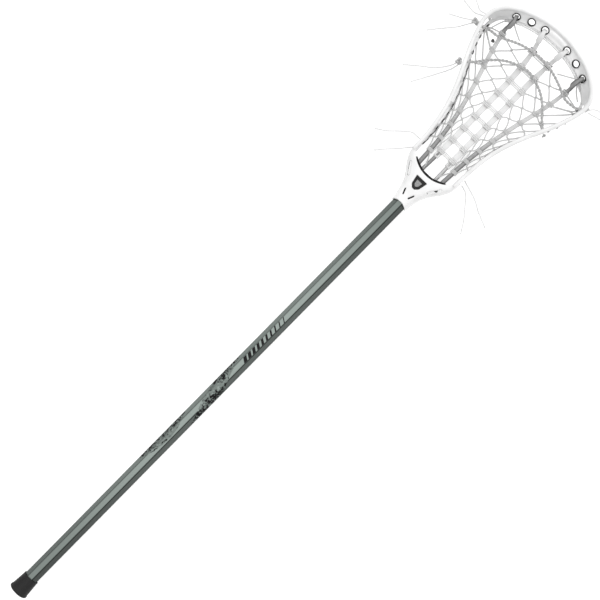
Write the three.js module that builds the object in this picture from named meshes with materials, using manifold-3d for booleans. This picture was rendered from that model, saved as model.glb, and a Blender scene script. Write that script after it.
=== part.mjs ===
// A women's lacrosse stick, lying on its back: an octagonal aluminium shaft with a rubber butt
// cap, a moulded head held by one screw, and the strung pocket with its loose string tails.
// Millimetres, +Z up. Lengths along the stick are counted from the butt end towards the scoop,
// heights from the shaft's axis; the last group moves all of it onto the resting surface.
import * as THREE from 'three';
import { mergeVertices } from 'three/addons/utils/BufferGeometryUtils.js';
import Module from 'manifold-3d';

const wasm = await Module();
wasm.setup();

// ---- Driving dimensions ----
const LENGTH = 1092.5;          // butt end to scoop
const REST_DEPTH = 14.6;        // shaft axis above the surface the stick lies on
const GAP = 0.3;                // clearance where two pieces touch

const SHAFT_FLATS = 20.5;       // across flats; 22.2 across corners
const SHAFT_WALL = 1.3;
const SHAFT_START = 3.0;
const SHAFT_LENGTH = 800;
const SHAFT_END = SHAFT_START + SHAFT_LENGTH;
const CORNER_RADIUS = 2.0;

const CAP_LENGTH = 29;
const CAP_RADIUS = 14.6;
const CAP_MOUTH_RADIUS = 12.9;

const LIP_X = 767;              // mouth of the head's socket
const SCREW_X = 785;
const SCREW_SHANK_RADIUS = 2.1;
const SCREW_HEAD_RADIUS = 3.6;

const ARC_CENTRE_X = 869;       // centre of the arched ball-stop wall
const ARC_RADIUS = 47;
const ARC_WALL = 4;
const PAD_THICKNESS = 4;
const PAD_HALF_ANGLE = 38;      // degrees
const PLATE_UNDERSIDE = 8.5;    // height of the throat plate's back

const THONG_THICKNESS = 2;
const OUTER_THONG_WIDTH = 5.6;
const INNER_THONG_WIDTH = 6.4;
const THONG_KNOT = { x: 3.4, y: 4.4, z: 3.4 };
const LACE_RADIUS = 1.1;
const SHOOTER_RADIUS = 1.7;
const TAIL_RADIUS = 1.0;

const SCOOP_HOLE_Y = [63.5, 42.5, 20.9];
const RING_OUTER = 6.0;
const RING_BARREL = 5.2;
const RING_BORE = 4.3;

const LADDER_ROWS = 9;
const LADDER_START = 863;
const LADDER_PITCH = 23.2;

// ---- Colours ----
const COLOURS = {
  aluminium: { color: 0x84908a, roughness: 0.38, metalness: 0.85 },
  rubber: { color: 0x161717, roughness: 0.75, metalness: 0 },
  plastic: { color: 0xf2f3f3, roughness: 0.3, metalness: 0 },
  foam: { color: 0x101010, roughness: 0.9, metalness: 0 },
  badge: { color: 0x17181a, roughness: 0.35, metalness: 0 },
  ring: { color: 0x121314, roughness: 0.5, metalness: 0 },
  steel: { color: 0x8e9194, roughness: 0.35, metalness: 1 },
  leather: { color: 0xa2a4a5, roughness: 0.8, metalness: 0 },
  ribbon: { color: 0xe6e7e7, roughness: 0.85, metalness: 0 },
  lace: { color: 0xdfe0e0, roughness: 0.8, metalness: 0 },
  shooter: { color: 0x9d9fa0, roughness: 0.85, metalness: 0 },
};

const group = new THREE.Group();

function addPart(name, geometry, finish) {
  const mesh = new THREE.Mesh(geometry, new THREE.MeshStandardMaterial(COLOURS[finish]));
  mesh.name = name;
  group.add(mesh);
}

// ---- Solids ----
function toSolid(geometry) {
  const bare = geometry.clone();
  bare.deleteAttribute('normal');
  bare.deleteAttribute('uv');
  const merged = mergeVertices(bare, 1e-4);
  return new wasm.Manifold(new wasm.Mesh({
    numProp: 3,
    vertProperties: new Float32Array(merged.attributes.position.array),
    triVerts: new Uint32Array(merged.index.array),
  }));
}

function toGeometry(solid) {
  const mesh = solid.getMesh();
  const geometry = new THREE.BufferGeometry();
  geometry.setAttribute('position', new THREE.BufferAttribute(mesh.vertProperties, 3));
  geometry.setIndex(new THREE.BufferAttribute(mesh.triVerts, 1));
  return geometry;
}

// A closed skin over rings that all have the same even number of points. Opposite points of the
// first and last ring are joined in a strip, so a thin bent section closes without crossing.
function loft(rings) {
  const sides = rings[0].length;
  const positions = rings.flat().flatMap((p) => [p.x, p.y, p.z]);
  const index = [];
  for (let r = 0; r < rings.length - 1; r++) {
    for (let s = 0; s < sides; s++) {
      const a = r * sides + s;
      const b = r * sides + (s + 1) % sides;
      index.push(a, b, b + sides, a, b + sides, a + sides);
    }
  }
  const last = (rings.length - 1) * sides;
  for (let s = 0; s < sides / 2 - 1; s++) {
    const t = sides - 1 - s;
    index.push(s, t, t - 1, s, t - 1, s + 1);
    index.push(last + s, last + t - 1, last + t, last + s, last + s + 1, last + t - 1);
  }
  const geometry = new THREE.BufferGeometry();
  geometry.setAttribute('position', new THREE.Float32BufferAttribute(positions, 3));
  geometry.setIndex(index);
  return facesOut(geometry);
}

function facesOut(geometry) {
  const p = geometry.attributes.position;
  const i = geometry.index.array;
  const corner = (k) => new THREE.Vector3().fromBufferAttribute(p, i[k]);
  let volume = 0;
  for (let k = 0; k < i.length; k += 3) {
    volume += corner(k).dot(corner(k + 1).cross(corner(k + 2)));
  }
  if (volume < 0) {
    for (let k = 0; k < i.length; k += 3) [i[k], i[k + 1]] = [i[k + 1], i[k]];
  }
  return geometry;
}

function polygonShape(points) {
  return new THREE.Shape(points.map(([x, y]) => new THREE.Vector2(x, y)));
}

// A prism of a flat outline, from low to high along its third axis.
function prism(shape, low, high) {
  const solid = new THREE.ExtrudeGeometry(shape, {
    depth: high - low, bevelEnabled: false, curveSegments: 3,
  });
  return solid.translate(0, 0, low);
}

// Turns a prism made along Z so that it runs along X, with its outline in the Y-Z plane.
function alongX(geometry) {
  const basis = new THREE.Matrix4().makeBasis(
    new THREE.Vector3(0, 1, 0), new THREE.Vector3(0, 0, 1), new THREE.Vector3(1, 0, 0));
  return geometry.applyMatrix4(basis);
}

function cylinder(radius, low, high, sides) {
  const solid = new THREE.CylinderGeometry(radius, radius, high - low, sides);
  return solid.rotateX(Math.PI / 2).translate(0, 0, (low + high) / 2);
}

function vector([x, y, z]) {
  return new THREE.Vector3(x, y, z);
}

function circleShape(radius, sides) {
  const points = [];
  for (let k = 0; k < sides; k++) {
    const angle = 2 * Math.PI * k / sides;
    points.push([radius * Math.cos(angle), radius * Math.sin(angle)]);
  }
  return polygonShape(points);
}

function tube(points, radius, steps, sides) {
  const curve = new THREE.CatmullRomCurve3(points.map(vector));
  return new THREE.ExtrudeGeometry(circleShape(radius, sides), {
    steps, extrudePath: curve, bevelEnabled: false,
  });
}

// ---- Shaft ----
function octagonPoints(flats, cornerRadius, cornerSteps) {
  const points = [];
  const centre = (flats / 2 - cornerRadius) / Math.cos(Math.PI / 8);
  for (let corner = 0; corner < 8; corner++) {
    const middle = Math.PI / 8 + corner * Math.PI / 4;
    for (let k = 0; k <= cornerSteps; k++) {
      const angle = middle + Math.PI / 4 * (k / cornerSteps - 0.5);
      points.push([
        centre * Math.cos(middle) + cornerRadius * Math.cos(angle),
        centre * Math.sin(middle) + cornerRadius * Math.sin(angle),
      ]);
    }
  }
  return points;
}

function makeShaft() {
  const outline = polygonShape(octagonPoints(SHAFT_FLATS, CORNER_RADIUS, 3));
  const bore = octagonPoints(SHAFT_FLATS - 2 * SHAFT_WALL, CORNER_RADIUS - SHAFT_WALL, 1);
  outline.holes.push(new THREE.Path(bore.map(([x, y]) => new THREE.Vector2(x, y))));
  const tubeSolid = toSolid(alongX(prism(outline, SHAFT_START, SHAFT_END)));
  const screwHole = cylinder(SCREW_SHANK_RADIUS + GAP, -12, 0, 12).translate(SCREW_X, 0, 0);
  return toGeometry(tubeSolid.subtract(toSolid(screwHole)));
}

// ---- Butt cap ----
function makeButtCap() {
  const profile = [
    [0, 0], [11.6, 0], [13.6, 1.0], [CAP_RADIUS, 3.0], [CAP_RADIUS, 4.6], [13.7, 6.0],
    [13.3, 10], [CAP_MOUTH_RADIUS, 20], [CAP_MOUTH_RADIUS, CAP_LENGTH - 0.8],
    [CAP_MOUTH_RADIUS - 0.7, CAP_LENGTH], [0, CAP_LENGTH],
  ];
  const turned = new THREE.LatheGeometry(profile.map(([r, x]) => new THREE.Vector2(r, x)), 24);
  turned.rotateZ(-Math.PI / 2);
  const socket = polygonShape(octagonPoints(SHAFT_FLATS + 2 * GAP, CORNER_RADIUS, 2));
  const bore = alongX(prism(socket, SHAFT_START - GAP, CAP_LENGTH + 5));
  return toGeometry(toSolid(turned).subtract(toSolid(bore)));
}

// ---- Head: the basket's wall ----
// Stations of the left half, from the throat to the tip of the scoop: place of the rim's outer
// edge in plan, height of its top, and how far the wall's foot lies inwards and how high it is.
const FOOT_LOW = 0.12 - REST_DEPTH;
const STATIONS = [
  { x: 838, y: 42.0, top: 13.4, inset: 6.0, foot: -13.4 },
  { x: 862, y: 43.0, top: 17.0, inset: 6.5, foot: -14.2 },
  { x: 888, y: 45.8, top: 21.5, inset: 8.0, foot: FOOT_LOW },
  { x: 910, y: 50.2, top: 24.8, inset: 9.5, foot: FOOT_LOW },
  { x: 932, y: 57.2, top: 27.5, inset: 10.0, foot: FOOT_LOW },
  { x: 955, y: 66.8, top: 30.0, inset: 10.0, foot: FOOT_LOW },
  { x: 977, y: 77.4, top: 32.0, inset: 9.5, foot: -14.4 },
  { x: 1000, y: 87.3, top: 34.0, inset: 9.0, foot: -12.6 },
  { x: 1021, y: 94.4, top: 36.3, inset: 9.5, foot: -8.0 },
  { x: 1038, y: 97.4, top: 39.0, inset: 11.5, foot: 1.5 },
  { x: 1053, y: 94.0, top: 42.5, inset: 14.0, foot: 14.0 },
  { x: 1066, y: 83.5, top: 46.0, inset: 15.8, foot: 25.0 },
  { x: 1077, y: 67.0, top: 48.7, inset: 17.0, foot: 31.5 },
  { x: 1085.5, y: 46.0, top: 50.5, inset: 18.0, foot: 34.8 },
  { x: 1090.8, y: 23.0, top: 51.6, inset: 18.8, foot: 36.5 },
  { x: 1092.5, y: 0.0, top: 52.0, inset: 19.0, foot: 37.0 },
];
const RIM_BEAD = 3.0;
const FOOT_BEAD = 2.4;
const WALL_HALF = 1.6;
const RING_STEPS = 2;           // rings of the skin between two stations

const mirrored = STATIONS.slice(0, -1).reverse().map((s) => ({ ...s, y: -s.y }));
const ALL_STATIONS = [...STATIONS, ...mirrored];
const TIP = STATIONS.length - 1;
const rimCurve = new THREE.CatmullRomCurve3(
  ALL_STATIONS.map((s) => new THREE.Vector3(s.x, s.y, s.top)));
const footCurve = new THREE.CatmullRomCurve3(
  ALL_STATIONS.map((s) => new THREE.Vector3(s.inset, s.foot, 0)));

// Everything about the wall at a station number, which may lie between two stations: a point
// out.x is measured outwards from the rim's edge in plan, and out.y is a height.
function wallAt(station) {
  const t = THREE.MathUtils.clamp(station / (ALL_STATIONS.length - 1), 0, 1);
  const rim = rimCurve.getPoint(t);
  const foot = footCurve.getPoint(t);
  const along = rimCurve.getTangent(t).setZ(0).normalize();
  const outward = new THREE.Vector3(-along.y, along.x, 0);
  const head = new THREE.Vector2(-RIM_BEAD, rim.z - RIM_BEAD);
  const toe = new THREE.Vector2(-foot.x + FOOT_BEAD, foot.y + FOOT_BEAD);
  const down = toe.clone().sub(head).normalize();
  const outside = new THREE.Vector2(-down.y, down.x);
  const place = (p) => new THREE.Vector3(rim.x, rim.y, 0)
    .addScaledVector(outward, p.x).setZ(p.y);
  return { head, toe, down, outside, along, outward, place };
}

function wallRing(station) {
  const wall = wallAt(station);
  const half = [
    [wall.head, -0.92 * RIM_BEAD, 0.4 * RIM_BEAD], [wall.head, -0.3 * RIM_BEAD, RIM_BEAD],
    [wall.head, 0.5 * RIM_BEAD, RIM_BEAD], [wall.head, 1.4 * RIM_BEAD, WALL_HALF],
    [wall.toe, -1.4 * FOOT_BEAD, WALL_HALF], [wall.toe, -0.4 * FOOT_BEAD, FOOT_BEAD],
    [wall.toe, 0.4 * FOOT_BEAD, FOOT_BEAD], [wall.toe, FOOT_BEAD, 0.4 * FOOT_BEAD],
  ];
  const side = (sign) => half.map(([from, down, out]) => wall.place(
    from.clone().addScaledVector(wall.down, down).addScaledVector(wall.outside, sign * out)));
  return [...side(1), ...side(-1).reverse()];
}

function makeBasket() {
  const rings = [];
  for (let k = 0; k <= (ALL_STATIONS.length - 1) * RING_STEPS; k++) {
    rings.push(wallRing(k / RING_STEPS));
  }
  return toSolid(loft(rings));
}

// A tool that cuts through the wall: made about its own Z axis and set with Z along the wall's
// outward direction, X along the rail, at a share of the way from the rim to the foot.
function wallTool(station, share, geometry) {
  const wall = wallAt(station);
  const before = wallAt(station - 0.2);
  const after = wallAt(station + 0.2);
  const middle = (w) => w.place(w.head.clone().lerp(w.toe, share));
  const along = middle(after).sub(middle(before)).normalize();
  const up = new THREE.Vector3().crossVectors(wall.outward, along).normalize();
  const out = new THREE.Vector3().crossVectors(along, up).normalize();
  const basis = new THREE.Matrix4().makeBasis(along, up, out).setPosition(middle(wall));
  return toSolid(geometry.applyMatrix4(basis));
}

function roundedRectangle(length, height, radius) {
  const x = length / 2 - radius;
  const y = height / 2 - radius;
  const shape = new THREE.Shape();
  shape.absarc(x, y, radius, 0, Math.PI / 2);
  shape.absarc(-x, y, radius, Math.PI / 2, Math.PI);
  shape.absarc(-x, -y, radius, Math.PI, 1.5 * Math.PI);
  shape.absarc(x, -y, radius, 1.5 * Math.PI, 2 * Math.PI);
  return shape;
}

// Windows of one sidewall: middle station, length and height.
const WINDOWS = [
  [1.15, 26, 11], [2.65, 30, 15], [4.2, 32, 19], [5.75, 32, 22], [7.3, 31, 22], [8.65, 22, 17],
];
// Lacing holes of one lower rail, by station.
const LACE_HOLES = [0.75, 1.9, 3.0, 4.05, 5.1, 6.15, 7.2, 8.2, 9.1, 9.9];
const LACE_HOLE_RADIUS = 1.7;

function bothSides(station) {
  return [station, 2 * TIP - station];
}

function cutWindows(solid) {
  let result = solid;
  for (const [middle, length, height] of WINDOWS) {
    for (const station of bothSides(middle)) {
      const shape = roundedRectangle(length, height, 4.5);
      const tool = new THREE.ExtrudeGeometry(shape, {
        depth: 24, bevelEnabled: false, curveSegments: 2,
      }).translate(0, 0, -12);
      result = result.subtract(wallTool(station, 0.5, tool));
    }
  }
  return result;
}

function cutLaceHoles(solid) {
  let result = solid;
  for (const hole of LACE_HOLES) {
    for (const station of bothSides(hole)) {
      const tool = cylinder(LACE_HOLE_RADIUS, -8, 8, 6).scale(1.3, 1, 1);
      result = result.subtract(wallTool(station, 0.97, tool));
    }
  }
  return result;
}

// The scoop's holes sit a fixed way up the slope from its inner edge. The station whose hole
// lies at a given y is found by halving the range between the corner and the tip.
const HOLE_FROM_EDGE = 7.6;

function holeFrame(y) {
  let low = TIP - 6;
  let high = TIP;
  let wall = wallAt(low);
  let centre = new THREE.Vector3();
  for (let k = 0; k < 30; k++) {
    const station = (low + high) / 2;
    wall = wallAt(station);
    const edge = wall.toe.clone().addScaledVector(wall.down, FOOT_BEAD);
    centre = wall.place(edge.addScaledVector(wall.down, -HOLE_FROM_EDGE));
    if (centre.y > Math.abs(y)) low = station;
    else high = station;
  }
  const side = Math.sign(y);
  const mirror = (v) => new THREE.Vector3(v.x, side * v.y, v.z);
  const inward = mirror(wall.outward).negate();
  const face = inward.clone().multiplyScalar(wall.outside.x).setZ(-wall.outside.y);
  const slope = inward.clone().multiplyScalar(wall.down.x).setZ(-wall.down.y);
  return { centre: mirror(centre), face, slope, across: mirror(wall.along) };
}

function allHoleFrames() {
  const left = SCOOP_HOLE_Y.map((y) => holeFrame(y));
  const right = SCOOP_HOLE_Y.map((y) => holeFrame(-y)).reverse();
  return [...left, ...right];
}

function onFrame(frame, geometry) {
  const x = new THREE.Vector3().crossVectors(frame.slope, frame.face).normalize();
  const basis = new THREE.Matrix4().makeBasis(x, frame.slope, frame.face);
  return geometry.applyMatrix4(basis.setPosition(frame.centre));
}

function cutScoopHoles(solid) {
  let result = solid;
  for (const frame of allHoleFrames()) {
    const bore = toSolid(onFrame(frame, cylinder(RING_BARREL + GAP, -8, 8, 16)));
    const seat = toSolid(onFrame(frame, cylinder(RING_OUTER + GAP, WALL_HALF, 8, 16)));
    result = result.subtract(bore).subtract(seat);
  }
  return result;
}

// ---- Head: the throat ----
// Half width, top and underside of the throat at places along the stick.
const THROAT = [
  { x: LIP_X, half: 12.8, top: 13.2 },
  { x: 781, half: 15.0, top: 13.6 },
  { x: 796, half: 19.2, top: 13.8 },
  { x: 808, half: 26.2, top: 13.8 },
  { x: 818, half: 33.6, top: 13.7 },
  { x: 829, half: 39.8, top: 13.5 },
  { x: 840, half: 42.2, top: 13.4 },
  { x: 852, half: 42.6, top: 13.4 },
];

// A flat-backed oval: a superellipse whose corners tighten as the throat widens.
function throatRing({ x, half, top }) {
  const power = THREE.MathUtils.mapLinear(half, 12.8, 42, 0.86, 0.42);
  const ring = [];
  const sides = 20;
  for (let k = 0; k < sides; k++) {
    const angle = 2 * Math.PI * (k + 0.5) / sides;
    const c = Math.cos(angle);
    const s = Math.sin(angle);
    ring.push(new THREE.Vector3(
      x,
      half * Math.sign(c) * Math.abs(c) ** power,
      top * Math.sign(s) * Math.abs(s) ** power,
    ));
  }
  return ring;
}

function throatHalfWidth(x) {
  const k = THROAT.findIndex((s) => s.x > x);
  const [a, b] = [THROAT[k - 1], THROAT[k]];
  return THREE.MathUtils.mapLinear(x, a.x, b.x, a.half, b.half);
}

function makeThroatBody() {
  const curve = new THREE.CatmullRomCurve3(
    THROAT.map((s) => new THREE.Vector3(s.x, s.half, s.top)));
  const rings = [];
  for (let k = 0; k <= 14; k++) {
    const p = curve.getPoint(k / 14);
    rings.push(throatRing({ x: p.x, half: p.y, top: p.z }));
  }
  return toSolid(loft(rings));
}

function shaftSocket() {
  const outline = polygonShape(octagonPoints(SHAFT_FLATS + 2 * GAP, CORNER_RADIUS, 2));
  return toSolid(alongX(prism(outline, LIP_X - 5, SHAFT_END + GAP)));
}

// The mouth's edge is scalloped: deepest in the middle of the front and the back.
function mouthScallop() {
  return toSolid(cylinder(20, -20, 20, 40).translate(LIP_X - 16, 0, 0));
}

// The hollow behind the throat plate, between the struts and the ball-stop wall.
function throatHollow() {
  const wall = 4.2;
  const start = SHAFT_END + 4;
  const points = [];
  for (const x of [start, 814, 820, 826]) {
    points.push([x, throatHalfWidth(x) - wall - 1]);
  }
  const radius = ARC_RADIUS + ARC_WALL;
  for (let angle = 44; angle >= 0; angle -= 11) {
    const a = THREE.MathUtils.degToRad(angle);
    points.push([ARC_CENTRE_X - radius * Math.cos(a), radius * Math.sin(a)]);
  }
  const right = points.slice(0, -1).reverse().map(([x, y]) => [x, -y]);
  return toSolid(prism(polygonShape([...points, ...right].reverse()), -20, PLATE_UNDERSIDE));
}

function ballSpace() {
  return toSolid(cylinder(ARC_RADIUS, -30, 30, 64).translate(ARC_CENTRE_X, 0, 0));
}

// A slot through the plate beside each strut, which leaves the strut standing on its own.
function strutSlots() {
  const width = 3;
  const side = (sign) => {
    const outer = [];
    const inner = [];
    for (const x of [806, 812, 818, 824, 831]) {
      outer.push([x, sign * (throatHalfWidth(x) - 5)]);
      inner.push([x, sign * (throatHalfWidth(x) - 5 - width)]);
    }
    const outline = [...outer, ...inner.reverse()];
    return toSolid(prism(polygonShape(sign > 0 ? outline.reverse() : outline), 3, 20));
  };
  return side(1).add(side(-1));
}

// Two slanted slots in the front of the socket, through which the shaft shows dark.
function sightSlots() {
  const slot = (sign) => {
    const tool = prism(roundedRectangle(11, 2, 0.9), 5, 20);
    tool.rotateZ(sign * 0.38).translate(785.5, sign * 6.6, 0);
    return toSolid(tool);
  };
  return slot(1).add(slot(-1));
}

// The plain shield set into the throat plate, and its shallow recess.
const BADGE_X = 805.5;

function shieldOutline(grow) {
  return polygonShape([
    [9 + grow, 9.5 + grow], [-4.5, 6.6 + grow], [-9 - grow, 2 + grow],
    [-9 - grow, -2 - grow], [-4.5, -6.6 - grow], [9 + grow, -9.5 - grow],
  ].reverse());
}

function badgeRecess() {
  return toSolid(prism(shieldOutline(GAP), 12.6, 20).translate(BADGE_X, 0, 0));
}

function screwSeat() {
  const shank = toSolid(cylinder(SCREW_SHANK_RADIUS + GAP, -20, 0, 12));
  const seat = toSolid(cylinder(SCREW_HEAD_RADIUS + GAP, -20, -12.0, 16));
  return shank.add(seat).translate([SCREW_X, 0, 0]);
}

const OUTER_ANCHOR = 22;         // where the thongs pass through the ball-stop wall
const INNER_ANCHOR = 12;
const THONG_LOW = -8.6;

function thongSlots() {
  let slots = null;
  for (const y of [OUTER_ANCHOR, INNER_ANCHOR, -INNER_ANCHOR, -OUTER_ANCHOR]) {
    const cut = toSolid(new THREE.BoxGeometry(24, 8.4, 3.4).translate(826, y, THONG_LOW));
    slots = slots ? slots.add(cut) : cut;
  }
  return slots;
}

function makeHead() {
  const throat = makeThroatBody().subtract(ballSpace()).subtract(throatHollow())
    .subtract(strutSlots()).subtract(shaftSocket()).subtract(mouthScallop())
    .subtract(sightSlots()).subtract(badgeRecess()).subtract(screwSeat());
  const basket = cutScoopHoles(cutLaceHoles(cutWindows(makeBasket())));
  return toGeometry(throat.add(basket).subtract(thongSlots()));
}

// ---- Small fittings ----
function makeBallStop() {
  const inner = ARC_RADIUS - GAP - PAD_THICKNESS;
  const outer = ARC_RADIUS - GAP;
  const rings = [];
  for (let k = 0; k <= 16; k++) {
    const share = k / 8 - 1;
    const angle = THREE.MathUtils.degToRad(share * PAD_HALF_ANGLE);
    const face = inner + (PAD_THICKNESS - 1.6) * share ** 4;
    const at = (radius, z) => new THREE.Vector3(
      ARC_CENTRE_X - radius * Math.cos(angle), radius * Math.sin(angle), z);
    rings.push([at(outer, 12), at(outer, -5), at(face, -5), at(face, 12)]);
  }
  return loft(rings);
}

function makeBadge() {
  return prism(shieldOutline(0), 12.6 + GAP, 14.2).translate(BADGE_X, 0, 0);
}

function makeScrew() {
  const profile = [
    [0, -12.0 - GAP - 2.2], [2.6, -12.0 - GAP - 2.1], [SCREW_HEAD_RADIUS, -12.0 - GAP - 1.2],
    [SCREW_HEAD_RADIUS, -12.0 - GAP], [SCREW_SHANK_RADIUS, -12.0 - GAP],
    [SCREW_SHANK_RADIUS, -2], [0, 0],
  ];
  const turned = new THREE.LatheGeometry(profile.map(([r, z]) => new THREE.Vector2(r, z)), 16);
  return turned.rotateX(Math.PI / 2).translate(SCREW_X, 0, 0);
}

function makeRing(frame) {
  const profile = [
    [RING_BORE, -2.4], [RING_BARREL, -2.4], [RING_BARREL, WALL_HALF + GAP],
    [RING_OUTER, WALL_HALF + GAP], [RING_OUTER, WALL_HALF + GAP + 0.7],
    [RING_BORE, WALL_HALF + GAP + 0.7], [RING_BORE, -2.4],
  ];
  const turned = new THREE.LatheGeometry(profile.map(([r, z]) => new THREE.Vector2(r, z)), 14);
  return onFrame(frame, turned.rotateX(Math.PI / 2));
}

// ---- The pocket ----
// Height of the middle of the net along the stick, and of its edge at the sidewall.
const SAG = new THREE.CatmullRomCurve3([
  [816, THONG_LOW, 0], [838, -9.2, 0], [870, -10.6, 0], [930, -11.2, 0], [980, -9.8, 0],
  [1010, -5, 0], [1035, 6, 0], [1055, 22, 0], [1068, 35, 0], [1080, 46, 0],
].map(vector));

function curveHeight(curve, x) {
  let low = 0;
  let high = 1;
  for (let k = 0; k < 24; k++) {
    const middle = (low + high) / 2;
    if (curve.getPoint(middle).x < x) low = middle;
    else high = middle;
  }
  return curve.getPoint(low).y;
}

// Half width of the space between the walls at a place along the stick, at the wall's foot.
const footLine = STATIONS.slice(0, 11).map((s, k) => {
  const wall = wallAt(k);
  return wall.place(wall.toe.clone().addScaledVector(wall.outside, -FOOT_BEAD));
});

function footAt(x) {
  const k = THREE.MathUtils.clamp(footLine.findIndex((p) => p.x > x), 1, footLine.length - 1);
  const share = (x - footLine[k - 1].x) / (footLine[k].x - footLine[k - 1].x);
  return footLine[k - 1].clone().lerp(footLine[k], share);
}

function netHeight(x, y) {
  const foot = footAt(x);
  const share = Math.min(1, Math.abs(y) / foot.y) ** 2;
  return THREE.MathUtils.lerp(curveHeight(SAG, x), foot.z + 1.5, share);
}

// Half spread of the thongs along the stick, towards their holes in the scoop.
const OUTER_THONG = new THREE.CatmullRomCurve3([
  [830, 22, 0], [874, 24.7, 0], [912, 29.3, 0], [960, 38.6, 0], [1014, 52.4, 0], [1048, 59.5, 0],
].map(vector));
const INNER_THONG = new THREE.CatmullRomCurve3([
  [830, 12, 0], [886, 10.8, 0], [960, 11.2, 0], [1025, 12.2, 0], [1052, 14.8, 0],
].map(vector));
const THONG_STATIONS = 14;

function ribbon(points, across, width) {
  const curve = new THREE.CatmullRomCurve3(points);
  const sideways = new THREE.CatmullRomCurve3(across);
  const steps = (points.length - 1) * 2;
  const rings = [];
  for (let k = 0; k <= steps; k++) {
    const t = k / steps;
    const side = sideways.getPoint(t).normalize().multiplyScalar(width / 2);
    const thick = new THREE.Vector3().crossVectors(curve.getTangent(t), side).normalize()
      .multiplyScalar(THONG_THICKNESS / 2);
    const centre = curve.getPoint(t);
    rings.push([[1, 1], [-1, 1], [-1, -1], [1, -1]].map(([s, n]) => centre.clone()
      .addScaledVector(side, s).addScaledVector(thick, n)));
  }
  return loft(rings);
}

// A thong from its knot behind the ball-stop wall, along the pocket, over the scoop's inner
// edge, down through the ring and back under the edge.
function makeThong(route, anchor, side, frame, width) {
  const y = side * anchor;
  const wallBack = ARC_CENTRE_X - Math.sqrt((ARC_RADIUS + ARC_WALL) ** 2 - anchor ** 2);
  const knotX = wallBack - THONG_KNOT.x - 2 * GAP;
  const points = [
    vector([knotX, y, THONG_LOW]), vector([wallBack, y, THONG_LOW]), vector([830, y, THONG_LOW]),
  ];
  const end = route.points.at(-1).x;
  for (let k = 0; k < THONG_STATIONS; k++) {
    const x = THREE.MathUtils.mapLinear(k, 0, THONG_STATIONS - 1, 841, end - 2);
    const half = curveHeight(route, x);
    points.push(vector([x, side * half, netHeight(x, half)]));
  }
  const across = points.map(() => new THREE.Vector3(0, 1, 0));
  const loop = [[-6.5, 3.3], [-0.5, 4.2], [4.6, 4.0], [7.6, 0], [5.2, -4.4], [0, -4.6], [-6, -4.4]];
  for (const [s, n] of loop) {
    points.push(frame.centre.clone().addScaledVector(frame.slope, s - HOLE_FROM_EDGE)
      .addScaledVector(frame.face, n));
    across.push(frame.across.clone().multiplyScalar(frame.across.y < 0 ? -1 : 1));
  }
  const knot = new THREE.SphereGeometry(1, 10, 7).scale(THONG_KNOT.x, THONG_KNOT.y, THONG_KNOT.z)
    .translate(knotX, y, THONG_LOW);
  return toGeometry(toSolid(ribbon(points, across, width)).add(toSolid(knot)));
}

function makeThongs() {
  const frames = allHoleFrames();
  for (const [side, word] of [[1, 'left'], [-1, 'right']]) {
    const outer = frames[side > 0 ? 0 : 5];
    const inner = frames[side > 0 ? 2 : 3];
    addPart(`thong_outer_${word}`,
      makeThong(OUTER_THONG, OUTER_ANCHOR, side, outer, OUTER_THONG_WIDTH), 'leather');
    addPart(`thong_inner_${word}`,
      makeThong(INNER_THONG, INNER_ANCHOR, side, inner, INNER_THONG_WIDTH), 'ribbon');
  }
}

// A point a given height above the net's middle layer, measured square to the net.
function aboveNet(x, y, height) {
  const step = 1;
  const slopeX = (netHeight(x + step, y) - netHeight(x - step, y)) / (2 * step);
  const slopeY = (netHeight(x, y + step) - netHeight(x, y - step)) / (2 * step);
  const up = new THREE.Vector3(-slopeX, -slopeY, 1).normalize();
  return new THREE.Vector3(x, y, netHeight(x, y)).addScaledVector(up, height).toArray();
}

const LACE_ABOVE = THONG_THICKNESS / 2 + GAP + LACE_RADIUS + 0.7;
const SHOOTER_ABOVE = LACE_ABOVE + LACE_RADIUS + GAP + SHOOTER_RADIUS + 0.1;

// One string that climbs the ladder between the inner thongs, a rung at a time.
function makeLadder() {
  const reach = 15.4;
  const bend = 3;
  const points = [];
  for (let row = 0; row < LADDER_ROWS; row++) {
    const x = LADDER_START + row * LADDER_PITCH;
    const side = row % 2 ? -1 : 1;
    if (row > 0) points.push(aboveNet(x - bend, side * reach, LACE_ABOVE));
    points.push(aboveNet(x, side * (reach - bend), LACE_ABOVE));
    points.push(aboveNet(x, -side * (reach - bend), LACE_ABOVE));
    if (row < LADDER_ROWS - 1) points.push(aboveNet(x + bend, -side * reach, LACE_ABOVE));
  }
  return tube(points, LACE_RADIUS, 72, 6);
}

// The zigzag string between an inner thong and the sidewall, over the outer thong.
const ZIGZAG_START = 857;
const ZIGZAG_PITCH = 11.2;
const ZIGZAG_TURNS = 17;

function makeCrossLacing(side) {
  const points = [];
  for (let k = 0; k < ZIGZAG_TURNS; k++) {
    const x = ZIGZAG_START + k * ZIGZAG_PITCH;
    const reach = k % 2 ? footAt(x).y - 4.4 : 18.4;
    points.push(aboveNet(x, side * reach, LACE_ABOVE));
  }
  return tube(points, LACE_RADIUS, (ZIGZAG_TURNS - 1) * 3, 6);
}

function makeSidewallString(side) {
  const points = [];
  for (let x = 853; x <= 1039; x += 15.5) {
    const foot = footAt(x);
    points.push([x, side * (foot.y - LACE_RADIUS - 2 * GAP), foot.z + 2]);
  }
  return tube(points, LACE_RADIUS, 30, 6);
}

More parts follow.
